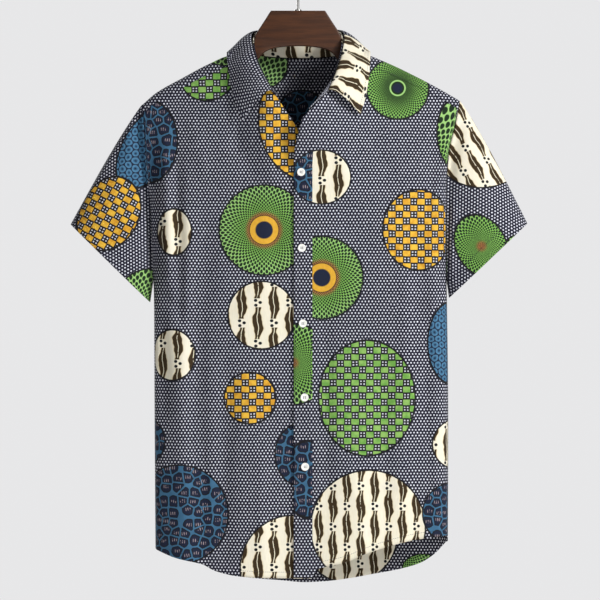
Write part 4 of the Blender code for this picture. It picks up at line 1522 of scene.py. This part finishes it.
LEFT_FRONT_DISCS = (
    Disc(Motif.STRIPE, 0.0323, -0.3032, 0.0400, 0.0366, 1.15),
    Disc(Motif.SUN, 0.0327, -0.4415, 0.0563),
    Disc(Motif.GREEN_CHECK, 0.095, -0.607, 0.066, 0.079),
    Disc(Motif.STRIPE, 0.0966, -0.7855, 0.0787),
    Disc(Motif.GOLD_CHECK, 0.166, -0.3756, 0.049, 0.055),
    Disc(Motif.ROSETTE, 0.1376, -0.1796, 0.0428),
    Disc(Motif.NET, 0.2167, -0.2404, 0.0235, 0.044, 0.75, (-0.05, -0.05)),
    Disc(Motif.CELLS, 0.2125, -0.5315, 0.033, 0.0545),
    Disc(Motif.STRIPE, 0.218, -0.671, 0.0317, 0.0, 1.15),
    Disc(Motif.CRACKLE, 0.2125, -0.766, 0.040),
)
PLACKET_DISCS = (
    Disc(Motif.CRACKLE, 0.0323, -0.3032, 0.0400, 0.0366),
    Disc(Motif.NET, -0.007, -0.5605, 0.054, 0.055, 0.75, (0.001, 0.002)),
    Disc(Motif.CRACKLE, 0.012, -0.7187, 0.030, 0.052),
)
YOKE_DISCS = (
    Disc(Motif.NET, -0.050, -0.0723, 0.035, 0.0, 1.0, (-0.020, 0.065)),
    Disc(Motif.CRACKLE, 0.0055, -0.0013, 0.033),
    Disc(Motif.NET, -0.100, -0.112, 0.036, 0.0, 1.0, (0.0, 0.050)),
    Disc(Motif.ROSETTE, 0.1376, -0.1796, 0.0428),
    Disc(Motif.STRIPE, 0.145, -0.020, 0.030),
    Disc(Motif.GOLD_CHECK, -0.135, -0.028, 0.034),
)
BACK_DISCS = (
    Disc(Motif.SUN, -0.070, -0.330, 0.060),
    Disc(Motif.STRIPE, 0.060, -0.300, 0.045),
    Disc(Motif.GOLD_CHECK, 0.130, -0.420, 0.055),
    Disc(Motif.CRACKLE, -0.155, -0.440, 0.042),
    Disc(Motif.STRIPE, -0.040, -0.520, 0.052),
    Disc(Motif.SUN, 0.085, -0.590, 0.058),
    Disc(Motif.GREEN_CHECK, -0.135, -0.640, 0.058),
    Disc(Motif.CELLS, 0.185, -0.620, 0.034, 0.052),
    Disc(Motif.NET, 0.174, -0.846, 0.028, 0.020, 1.0, (-0.04, 0.03)),
    Disc(Motif.STRIPE, 0.072, -0.800, 0.066),
    Disc(Motif.CRACKLE, 0.000, -0.760, 0.048),
    Disc(Motif.GOLD_CHECK, -0.090, -0.800, 0.046),
)
RIGHT_SLEEVE_DISCS = (
    Disc(Motif.CELLS, -0.2090, -0.262, 0.0330, 0.062),
    Disc(Motif.GOLD_CHECK, -0.262, -0.353, 0.042, 0.053),
    Disc(Motif.NET, -0.207, -0.472, 0.041, 0.0, 1.0, (0.0, -0.045)),
    Disc(Motif.STRIPE, -0.240, 0.080, 0.040),
    Disc(Motif.CRACKLE, -0.260, -0.010, 0.036),
)
LEFT_SLEEVE_DISCS = (
    Disc(Motif.STRIPE, 0.251, -0.251, 0.066),
    Disc(Motif.NET, 0.2525, -0.398, 0.034, 0.045, 0.75),
    Disc(Motif.NET, 0.305, -0.402, 0.020, 0.020, 1.0, (-0.05, 0.0)),
    Disc(Motif.GOLD_CHECK, 0.250, 0.060, 0.040),
    Disc(Motif.SUN, 0.230, -0.030, 0.045),
)
STAND_DISCS = (Disc(Motif.STRIPE, 0.0, 0.0, 0.088, 0.300),)
FALL_DISCS = (Disc(Motif.STRIPE, 0.265, 0.028, 0.150, 0.500, 1.2),)


# Sewing and trims


def close_tube(bm: bmesh.types.BMesh, rings: Sequence[list]) -> None:
    """Join rings of vertices into a tube and close its ends."""
    for lower, upper in zip(rings, rings[1:]):
        for k in range(len(lower)):
            after = (k + 1) % len(lower)
            bm.faces.new((lower[k], lower[after], upper[after], upper[k]))
    bm.faces.new(list(reversed(rings[0])))
    bm.faces.new(rings[-1])


def spin_profile(profile: Sequence[tuple], steps: int) -> bmesh.types.BMesh:
    """Turned solid from a profile of radii and heights that starts and ends on the axis."""
    bm = bmesh.new()
    verts = [bm.verts.new((radius, 0.0, height)) for radius, height in profile]
    edges = [bm.edges.new(pair) for pair in zip(verts, verts[1:])]
    bmesh.ops.spin(bm, geom=verts + edges, cent=(0, 0, 0), axis=(0, 0, 1), angle=2.0 * math.pi,
                   steps=steps, use_merge=True)
    bmesh.ops.remove_doubles(bm, verts=bm.verts, dist=0.00001)
    bmesh.ops.recalc_face_normals(bm, faces=bm.faces)
    return bm


def capsule(bm: bmesh.types.BMesh, start: Vector, end: Vector, radius: float, sides: int = 5) -> None:
    """Add one stitch: a short round bar sunk at its ends.

    Args:
        bm: mesh to add it to.
        start: one end.
        end: the other end.
        radius: half thickness of the thread.
        sides: faces round it.
    """
    along = end - start
    turn = Vector((0, 0, 1)).rotation_difference(along.normalized()).to_matrix()
    rings = []
    for share, size in ((0.0, 0.35), (0.18, 0.9), (0.5, 1.0), (0.82, 0.9), (1.0, 0.35)):
        centre = start + along * share
        rings.append([bm.verts.new(centre + turn @ Vector((
            radius * size * math.cos(2.0 * math.pi * k / sides),
            radius * size * math.sin(2.0 * math.pi * k / sides), 0.0))) for k in range(sides)])
    close_tube(bm, rings)


@dataclass
class StitchRow:
    """A row of thread stitches along a line on the cloth."""

    line: Sequence[Vector]
    length: float = 0.0024
    pitch: float = 0.0031
    radius: float = 0.00022

    def add_to(self, bm: bmesh.types.BMesh) -> int:
        """Add the row's stitches.

        Args:
            bm: mesh to add them to.

        Returns:
            How many there are.
        """
        far = walk(self.line)
        count = int(far[-1] / self.pitch)
        index = 0

        def at(distance: float) -> Vector:
            """Point at a distance along the line."""
            nonlocal index
            while index > 0 and far[index] > distance:
                index -= 1
            while index < len(far) - 2 and far[index + 1] < distance:
                index += 1
            share = (distance - far[index]) / max(far[index + 1] - far[index], 0.000001)
            return self.line[index].lerp(self.line[index + 1], min(max(share, 0.0), 1.0))

        for k in range(count):
            start = (k + 0.1) * self.pitch
            capsule(bm, at(start), at(start + self.length), self.radius)
        return count


@dataclass
class Sewing:
    """Every row of stitches, in one mesh for each panel."""

    fronts: dict
    sleeves: dict
    placket: Placket
    collar: Collar
    proud: float = 0.00012
    hem: float = 0.0085

    def front_line(self, side: Side, height: Callable[[float], float], start: float, end: float) -> list:
        """Line along a front; height gives its z at an x."""
        xs = [blend(start, end, k / 200) for k in range(201)]
        return [FORM.front_point(side, x, height(x), self.proud) for x in xs]

    def front_seam(self, panel: FrontPanel) -> list:
        """Line along the yoke's forward seam."""
        seam = []
        for k in range(81):
            u = blend(panel.centre_share, 0.995, k / 80)
            z = panel.top_z(u) + 0.0009 + 0.0016
            q = FORM.column_at(panel.x_at(u, z), z)
            seam.append(FORM.ridge_point(q, FORM.travel_to(q, z, -1), self.proud))
        return seam

    def cuff_line(self, sleeve: Sleeve) -> list:
        """Line round a sleeve's hem."""
        line = []
        for k in range(161):
            u = (k % 160) / 160
            length = (sleeve.cuff_point(u) - sleeve.ring_point(u)).length
            point = sleeve.place(u, 1.0 - (sleeve.hem - 0.0016) / length)
            if abs(point.y) > 0.003:
                out = Vector((0, math.copysign(1.0, point.y), 0))
            else:
                out = Vector((sleeve.side.value * (1 if u < 0.25 or u > 0.75 else -1), 0, 0))
            line.append(point + out * (self.proud + 0.0003))
        return line

    def armhole_line(self, side: Side) -> list:
        """Line round an armhole, on the body's cloth."""
        line = []
        for k in range(121):
            u = blend(0.03, 0.97, k / 120)
            share = 1.0 - abs(2.0 * u - 1.0)
            travel = FORM.travel_to(side.value, FORM.underarm_z, -1) * share ** 1.35
            line.append(FORM.ridge_point(side.value * 0.976, travel if u <= 0.5 else -travel, self.proud))
        return line

    def rows(self) -> dict:
        """Lines of stitches by the piece that they are sewn on."""
        yoke_z = -0.2265
        rows = {
            "front_left": [self.front_line(Side.LEFT, lambda x: FORM.hem_left(x) + self.hem, 0.022, 0.2065)],
            "front_right": [self.front_line(Side.RIGHT, lambda x: FORM.hem_right(x) + self.hem,
                                            0.0, -0.1965)],
            "back": [[FORM.point(x, FORM.hem_back(x) + self.hem, 1, self.proud)
                      for x in [blend(-0.195, 0.206, k / 240) for k in range(241)]]],
        }
        for side, panel in self.fronts.items():
            rows["front_" + side.word].append(self.front_seam(panel))
        rows["placket"] = [[self.placket.place(u, k / 300) + Vector((0, -self.proud, 0)) for k in range(301)]
                           for u in (0.10, 0.90)]
        rows["yoke"] = [[FORM.point(FORM.side_x(q, yoke_z), yoke_z, 1, self.proud)
                         for q in [blend(-0.99, 0.99, k / 200) for k in range(201)]]]
        for side, sleeve in self.sleeves.items():
            rows["sleeve_" + side.word] = [self.cuff_line(sleeve)]
            rows["front_" + side.word].append(self.armhole_line(side))
        collar = self.collar
        rows["collar_fall"] = [[self.lifted(collar.form.fall_point(collar.around_at(k / 320), 0.90))
                                for k in range(4, 317)]]
        for end in (0.022, 0.978):
            around = collar.around_at(end)
            rows["collar_fall"].append(
                [self.lifted(collar.form.fall_point(around, blend(0.05, 0.90, k / 50))) for k in range(51)])
        return rows

    def lifted(self, point: Vector) -> Vector:
        """Point moved just proud of the fall."""
        out = Vector((point.x * 0.3, point.y, 0.0)).normalized()
        return point + out * self.proud

    def build(self, finishes: Finishes) -> None:
        """Make one mesh of stitches for each panel."""
        for name, lines in self.rows().items():
            bm = bmesh.new()
            count = sum(StitchRow(line).add_to(bm) for line in lines)
            made = link_object(name + "_stitches", bm, (finishes.thread,))
            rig.slot(made, "print_cotton")
            LOG.info("%s: %d stitches", name, count)


@dataclass
class Button:
    """A white four-hole shirt button with a raised rim and its thread."""

    number: int
    x: float
    z: float
    radius: float = 0.0055
    height: float = 0.0024
    clear: float = 0.0004
    hole: float = 0.00115
    strand: float = 0.00022

    def seat(self) -> float:
        """Distance of the button's middle from the hanger's plane."""
        spots = [(self.x + dx, self.z + dz) for dx in (-self.radius, 0, self.radius)
                 for dz in (-self.radius, 0, self.radius)]
        most = max(FORM.depth(x, z, -1) + FORM.lap_lift(Side.LEFT, x, z) for x, z in spots)
        return most + FORM.layer + self.clear + self.height / 2.0

    def build(self, finishes: Finishes) -> None:
        """Make the disc by a full spin of its profile, with plugs at its holes, and its thread."""
        profile = ((0.0, 0.35), (0.50, 0.36), (0.60, 0.42), (0.68, 0.72), (0.78, 0.94), (0.88, 1.0),
                   (0.96, 0.90), (1.0, 0.62), (1.0, 0.10), (0.95, -0.45), (0.80, -0.80), (0.0, -0.90))
        bm = spin_profile([(r * self.radius, h * self.height / 2.0) for r, h in profile], 48)
        front = Vector((0, 0, 1)).rotation_difference(Vector((0, -1, 0))).to_matrix()
        bmesh.ops.rotate(bm, verts=bm.verts, matrix=front)
        middle = Vector((self.x, -self.seat(), self.z))
        bmesh.ops.translate(bm, verts=bm.verts, vec=middle)
        made = link_object("button_%d_body" % self.number, bm, (finishes.button,))
        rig.replaces(made, "button_%d" % self.number)
        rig.slot(made, "button_plastic")
        bm = bmesh.new()
        face = middle + Vector((0, -self.height * 0.5 * 0.42, 0))
        hole = self.hole
        for side in (-1, 1):
            for k in range(3):
                x = side * hole + (k - 1) * self.strand
                capsule(bm, face + Vector((x, 0, -hole)), face + Vector((x, 0, hole)), 0.00016, 6)
        threads = link_object("button_%d_thread" % self.number, bm, (finishes.thread,))
        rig.slot(threads, "button_plastic")
        bm = bmesh.new()
        for side_x in (-1, 1):
            for side_z in (-1, 1):
                start = face + Vector((side_x * hole, 0.00035, side_z * hole))
                plug = bmesh.ops.create_cone(bm, cap_ends=True, segments=16, radius1=0.00062,
                                             radius2=0.00062, depth=0.0009)["verts"]
                bmesh.ops.rotate(bm, verts=plug, matrix=front)
                bmesh.ops.translate(bm, verts=plug, vec=start)
        holes = link_object("button_%d_holes" % self.number, bm, (finishes.thread,))
        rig.slot(holes, "button_plastic")


BUTTON_SPOTS = ((0.0043, -0.2965), (0.0054, -0.4006), (0.0068, -0.5044), (0.0091, -0.6061), (0.0098, -0.7014))


@dataclass
class Buttonhole:
    """A worked upright slit under each button."""

    x: float
    z: float
    length: float = 0.015

    def add_to(self, bm: bmesh.types.BMesh) -> None:
        """Add the two beads of close thread on both sides of the slit."""
        for side in (-1, 1):
            for k in range(24):
                z = self.z + self.length * (k / 23.0 - 0.5)
                start = placket_point(self.x + side * 0.0007 - 0.0006, z, 0.0002)
                capsule(bm, start, start + Vector((0.0012, 0, 0)), 0.00024, 4)


@dataclass
class Hanger:
    """Flat wooden hanger and its steel hook."""

    thickness: float = 0.012
    bevel: float = 0.0020
    top_z: float = -0.0718
    clearance: float = 0.0032
    arm_start: float = 0.078
    arm_end: float = 0.185
    arm_height: float = 0.024
    wire: float = 0.0019
    crook: float = 0.021

    def outline(self) -> list:
        """Outline in the plane of the hanger."""
        arms = [blend(self.arm_start, self.arm_end, k / 20) for k in range(21)]

        def top(x: float) -> float:
            """Height of an arm's upper edge."""
            return FORM.shoulder(x) - self.clearance

        neck = [(-0.0635, -0.1400), (-0.0622, -0.1340), (-0.0613, -0.1270), (-0.0608, -0.1190),
                (-0.0603, -0.1112), (-0.0588, -0.1050), (-0.0552, -0.0990), (-0.0511, -0.0928),
                (-0.0469, -0.0864), (-0.0433, -0.0808), (-0.0405, -0.0763), (-0.0374, self.top_z)]
        arch = [(0.0790, -0.1600), (0.0700, -0.1552), (0.0610, -0.1478), (0.0560, -0.1400),
                (0.0505, -0.1330), (0.0455, -0.1288), (0.0400, -0.1258), (0.0310, -0.1232),
                (0.0207, -0.1217), (0.0100, -0.1208)]
        made = [(-x, top(-x)) for x in reversed(arms)] + neck + [(-x, z) for x, z in reversed(neck)]
        made += [(x, top(x)) for x in arms]
        made.append((self.arm_end + 0.006, top(self.arm_end) - self.arm_height * 0.55))
        made += [(x, top(x) - self.arm_height) for x in reversed(arms[1:])]
        made += arch + [(0.0, -0.1205)] + [(-x, z) for x, z in reversed(arch)]
        made += [(-x, top(-x) - self.arm_height) for x in arms[1:]]
        made.append((-self.arm_end - 0.006, top(-self.arm_end) - self.arm_height * 0.55))
        return made

    def build_wood(self, finishes: Finishes) -> None:
        """Extrude the outline and round its edges."""
        bm = bmesh.new()
        half = self.thickness / 2.0
        face = bm.faces.new([bm.verts.new((x, -half, z)) for x, z in self.outline()])
        grown = bmesh.ops.extrude_face_region(bm, geom=[face])
        moved = [item for item in grown["geom"] if isinstance(item, bmesh.types.BMVert)]
        bmesh.ops.translate(bm, verts=moved, vec=(0, self.thickness, 0))
        bmesh.ops.recalc_face_normals(bm, faces=bm.faces)
        rims = [edge for edge in bm.edges if len(edge.link_faces) == 2
                and edge.calc_face_angle(0.0) > math.radians(60)
                and abs(edge.verts[0].co.y - edge.verts[1].co.y) < 0.0001]
        bmesh.ops.bevel(bm, geom=rims, offset=self.bevel, offset_type='OFFSET', segments=5, profile=0.5,
                        affect='EDGES', material=-1)
        made = link_object("hanger_board", bm, (finishes.wood,))
        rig.replaces(made, "hanger_wood")
        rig.slot(made, "stained_wood")

    def path(self) -> list:
        """Centreline of the hook."""
        centre_z = self.wire - self.crook
        stem = [(0.0, self.top_z - 0.006), (0.0, -0.070), (0.0, -0.064), (0.0, -0.058), (0.0003, -0.0525),
                (0.0012, -0.0480), (0.0028, -0.0440)]
        made = [Vector((x, 0.0, z)) for x, z in stem]
        for k in range(49):
            angle = math.radians(blend(-62.0, 205.0, k / 48))
            made.append(Vector((self.crook * math.cos(angle), 0.0, centre_z + self.crook * math.sin(angle))))
        return made

    def build_hook(self, finishes: Finishes) -> None:
        """Sweep a ring along the centreline, with a rounded end and a collar at the wood."""
        path = self.path()
        sides = 24
        bm = bmesh.new()
        rings = []
        sizes = [1.0] * (len(path) - 3) + [0.97, 0.8, 0.35]
        for index, point in enumerate(path):
            before, after = path[max(index - 1, 0)], path[min(index + 1, len(path) - 1)]
            across = (after - before).normalized().cross(Vector((0, 1, 0))).normalized()
            ring = []
            for k in range(sides):
                angle = 2.0 * math.pi * k / sides
                spoke = across * math.cos(angle) + Vector((0, 1, 0)) * math.sin(angle)
                ring.append(bm.verts.new(point + spoke * self.wire * sizes[index]))
            rings.append(ring)
        close_tube(bm, rings)
        bmesh.ops.recalc_face_normals(bm, faces=bm.faces)
        made = link_object("hook_wire", bm, (finishes.steel,))
        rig.replaces(made, "hanger_hook")
        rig.slot(made, "hook_steel")
        profile = ((0.0, 0.0), (0.0046, 0.0), (0.0050, 0.0004), (0.0050, 0.0012), (0.0044, 0.0018),
                   (0.0026, 0.0026), (0.0, 0.0026))
        bm = spin_profile([(r, self.top_z - 0.0002 + h) for r, h in profile], 32)
        collar = link_object("hook_collar", bm, (finishes.steel,))
        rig.slot(collar, "hook_steel")


# Plain materials


def build_wood_finish() -> bpy.types.Material:
    """Dark brown stained wood with grain along the board and a satin varnish."""
    made, wires, shader = start_material("stained_wood_finish", {
        "Base Color": (0.07, 0.022, 0.010, 1.0), "Roughness": 0.38, "Coat Weight": 0.06,
        "Specular IOR Level": 0.30, "Coat Roughness": 0.22})
    place = wires.add("ShaderNodeTexCoord", {})["Object"]
    grain = wires.noise(wires.vector("MULTIPLY", place, (14.0, 160.0, 160.0)), 1.0, 5.0)
    fine = wires.noise(wires.vector("MULTIPLY", place, (60.0, 900.0, 900.0)), 1.0)
    share = grain * 0.8 + fine * 0.3
    colour = wires.mix(wires.edge(share, 0.36, 0.80), (0.080, 0.025, 0.006, 1.0), (0.036, 0.011, 0.003, 1.0))
    wires.feed(shader.inputs["Base Color"], colour)
    wires.bump(shader, share, 0.12, 0.0003)
    wires.feed(shader.inputs["Roughness"], 0.40 + fine * 0.18)
    return made


def build_steel_finish() -> bpy.types.Material:
    """Plated steel with faint draw marks."""
    made, wires, shader = start_material("hook_steel_finish", {
        "Base Color": (0.74, 0.73, 0.71, 1.0), "Roughness": 0.22, "Metallic": 1.0})
    place = wires.add("ShaderNodeTexCoord", {})["Object"]
    marks = wires.noise(wires.vector("MULTIPLY", place, (900.0, 900.0, 120.0)), 1.0)
    wires.feed(shader.inputs["Roughness"], 0.16 + marks * 0.14)
    return made


def build_finishes() -> Finishes:
    """Make the shared materials."""
    thread = start_material("navy_thread", {"Base Color": (0.018, 0.020, 0.042, 1.0), "Roughness": 0.7})[0]
    button = start_material("button_white", {
        "Base Color": (0.84, 0.84, 0.80, 1.0), "Roughness": 0.28, "Subsurface Weight": 0.08,
        "Subsurface Radius": (0.002, 0.002, 0.0015), "Coat Weight": 0.3, "Coat Roughness": 0.15})[0]
    return Finishes(build_kit(), thread, button, build_wood_finish(), build_steel_finish())


# Room


def add_area_light(name: str, place: tuple, aim: tuple, size: float, power: float) -> None:
    """Add a soft light that points at a place."""
    lamp = bpy.data.lights.new(name, 'AREA')
    lamp.shape = 'DISK'
    lamp.size = size
    lamp.energy = power
    made = bpy.data.objects.new(name, lamp)
    made.location = place
    made.rotation_euler = (Vector(aim) - Vector(place)).to_track_quat('-Z', 'Y').to_euler()
    bpy.context.scene.collection.objects.link(made)


def build_room() -> None:
    """Floor, world, lights and camera."""
    bm = bmesh.new()
    bmesh.ops.create_circle(bm, cap_ends=True, segments=96, radius=2.9,
                            matrix=Matrix.Translation((0, 0, -1.3)))
    mesh = bpy.data.meshes.new("floor")
    bm.to_mesh(mesh)
    bm.free()
    mesh.materials.append(start_material("floor_paint", {
        "Base Color": (0.80, 0.79, 0.77, 1.0), "Roughness": 0.9})[0])
    floor = bpy.data.objects.new("floor", mesh)
    bpy.context.scene.collection.objects.link(floor)
    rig.stage(floor)
    world = bpy.context.scene.world or bpy.data.worlds.new("studio")
    bpy.context.scene.world = world
    world.use_nodes = True
    background = world.node_tree.nodes["Background"]
    background.inputs["Color"].default_value = (0.89, 0.89, 0.90, 1.0)
    wires = Wires(world.node_tree)
    seen = wires.add("ShaderNodeLightPath", {})["Is Camera Ray"]
    wires.feed(background.inputs["Strength"], 0.30 + seen * 0.60)
    add_area_light("key", (2.1, -1.75, 1.0), (0.0, 0.0, -0.45), 0.6, 90.0)
    add_area_light("fill", (-1.6, -2.6, -0.3), (0.0, 0.0, -0.45), 1.8, 3.0)
    add_area_light("low", (0.3, -2.2, -1.12), (0.1, 0.0, -0.84), 0.5, 14.0)
    add_area_light("rear", (-1.4, 2.6, 0.5), (0.0, 0.0, -0.45), 1.4, 32.0)
    eye = bpy.data.cameras.new("view")
    eye.sensor_width = 36.0
    eye.lens = 260.0
    made = bpy.data.objects.new("view", eye)
    made.location = (0.0028, -6.0, -0.4722)
    made.rotation_euler = (math.radians(90.0), 0.0, 0.0)
    bpy.context.scene.collection.objects.link(made)
    bpy.context.scene.camera = made
    bpy.context.scene.view_settings.view_transform = 'Standard'


@dataclass(frozen=True)
class Cut:
    """A piece's flat cut and how it lies; sizes in metres."""

    name: str
    width: float
    length: float
    held: str
    rests_on: tuple


CUTS = (
    Cut("front_right_cloth", 0.245, 0.745, "hung", ("yoke_cloth",)),
    Cut("front_left_cloth", 0.245, 0.745, "hung", ("yoke_cloth",)),
    Cut("back_cloth", 0.470, 0.640, "hung", ("yoke_cloth",)),
    Cut("yoke_cloth", 0.450, 0.140, "draped", ("hanger_board",)),
    Cut("sleeve_right_cloth", 0.400, 0.200, "hung", ("front_right_cloth",)),
    Cut("sleeve_left_cloth", 0.400, 0.200, "hung", ("front_left_cloth",)),
    Cut("placket_cloth", 0.030, 0.655, "hung", ("front_left_cloth",)),
    Cut("collar_stand_cloth", 0.430, 0.040, "folded", ("yoke_cloth",)),
    Cut("collar_fall_cloth", 0.480, 0.075, "folded", ("collar_stand_cloth",)),
)


def cloth_area(made: bpy.types.Object) -> float:
    """Area of a sheet's own grid, in square metres."""
    return sum(face.area for face in made.data.polygons)


def write_size(name: str) -> None:
    """Keep the size of what stands in the scene."""
    try:
        with open(SIZE_FILE, encoding="utf-8") as given:
            sizes = json.load(given)
    except (OSError, ValueError):
        sizes = {}
    low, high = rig.bounds()
    sizes[name] = [list(low), list(high)]
    with open(SIZE_FILE, "w", encoding="utf-8") as kept:
        json.dump(sizes, kept)


def main() -> None:
    """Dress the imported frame."""
    logging.basicConfig(level=logging.INFO, format="%(message)s")
    write_size("cad")
    finishes = build_finishes()
    fronts = {side: FrontPanel(side) for side in Side}
    placket = Placket(fronts[Side.LEFT])
    sleeves = {side: Sleeve(side) for side in Side}
    collar = Collar(CollarForm(NeckLine(fronts)))
    pieces = [piece.build(finishes)
              for piece in (*fronts.values(), BackPanel(), Yoke(), placket, *sleeves.values())]
    cloth = {made.name: made for made in (*pieces, *collar.build(finishes))}
    hanger = Hanger()
    hanger.build_wood(finishes)
    hanger.build_hook(finishes)
    Sewing(fronts, sleeves, placket, collar).build(finishes)
    bm = bmesh.new()
    for number, (x, z) in enumerate(BUTTON_SPOTS, start=1):
        Button(number, x, z).build(finishes)
        Buttonhole(x, z).add_to(bm)
    holes = link_object("buttonholes", bm, (finishes.thread,))
    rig.slot(holes, "print_cotton")
    for cut in CUTS:
        area = cloth_area(cloth[cut.name])
        LOG.info("%s: area %.4f of %.4f", cut.name, area, cut.width * cut.length)
        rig.sheet(cloth[cut.name], flat=(cut.width, cut.length), held=cut.held,
                 rests_on=list(cut.rests_on), area=min(area, cut.width * cut.length))
    build_room()
    write_size("visual")


if __name__ == "__main__":
    main()
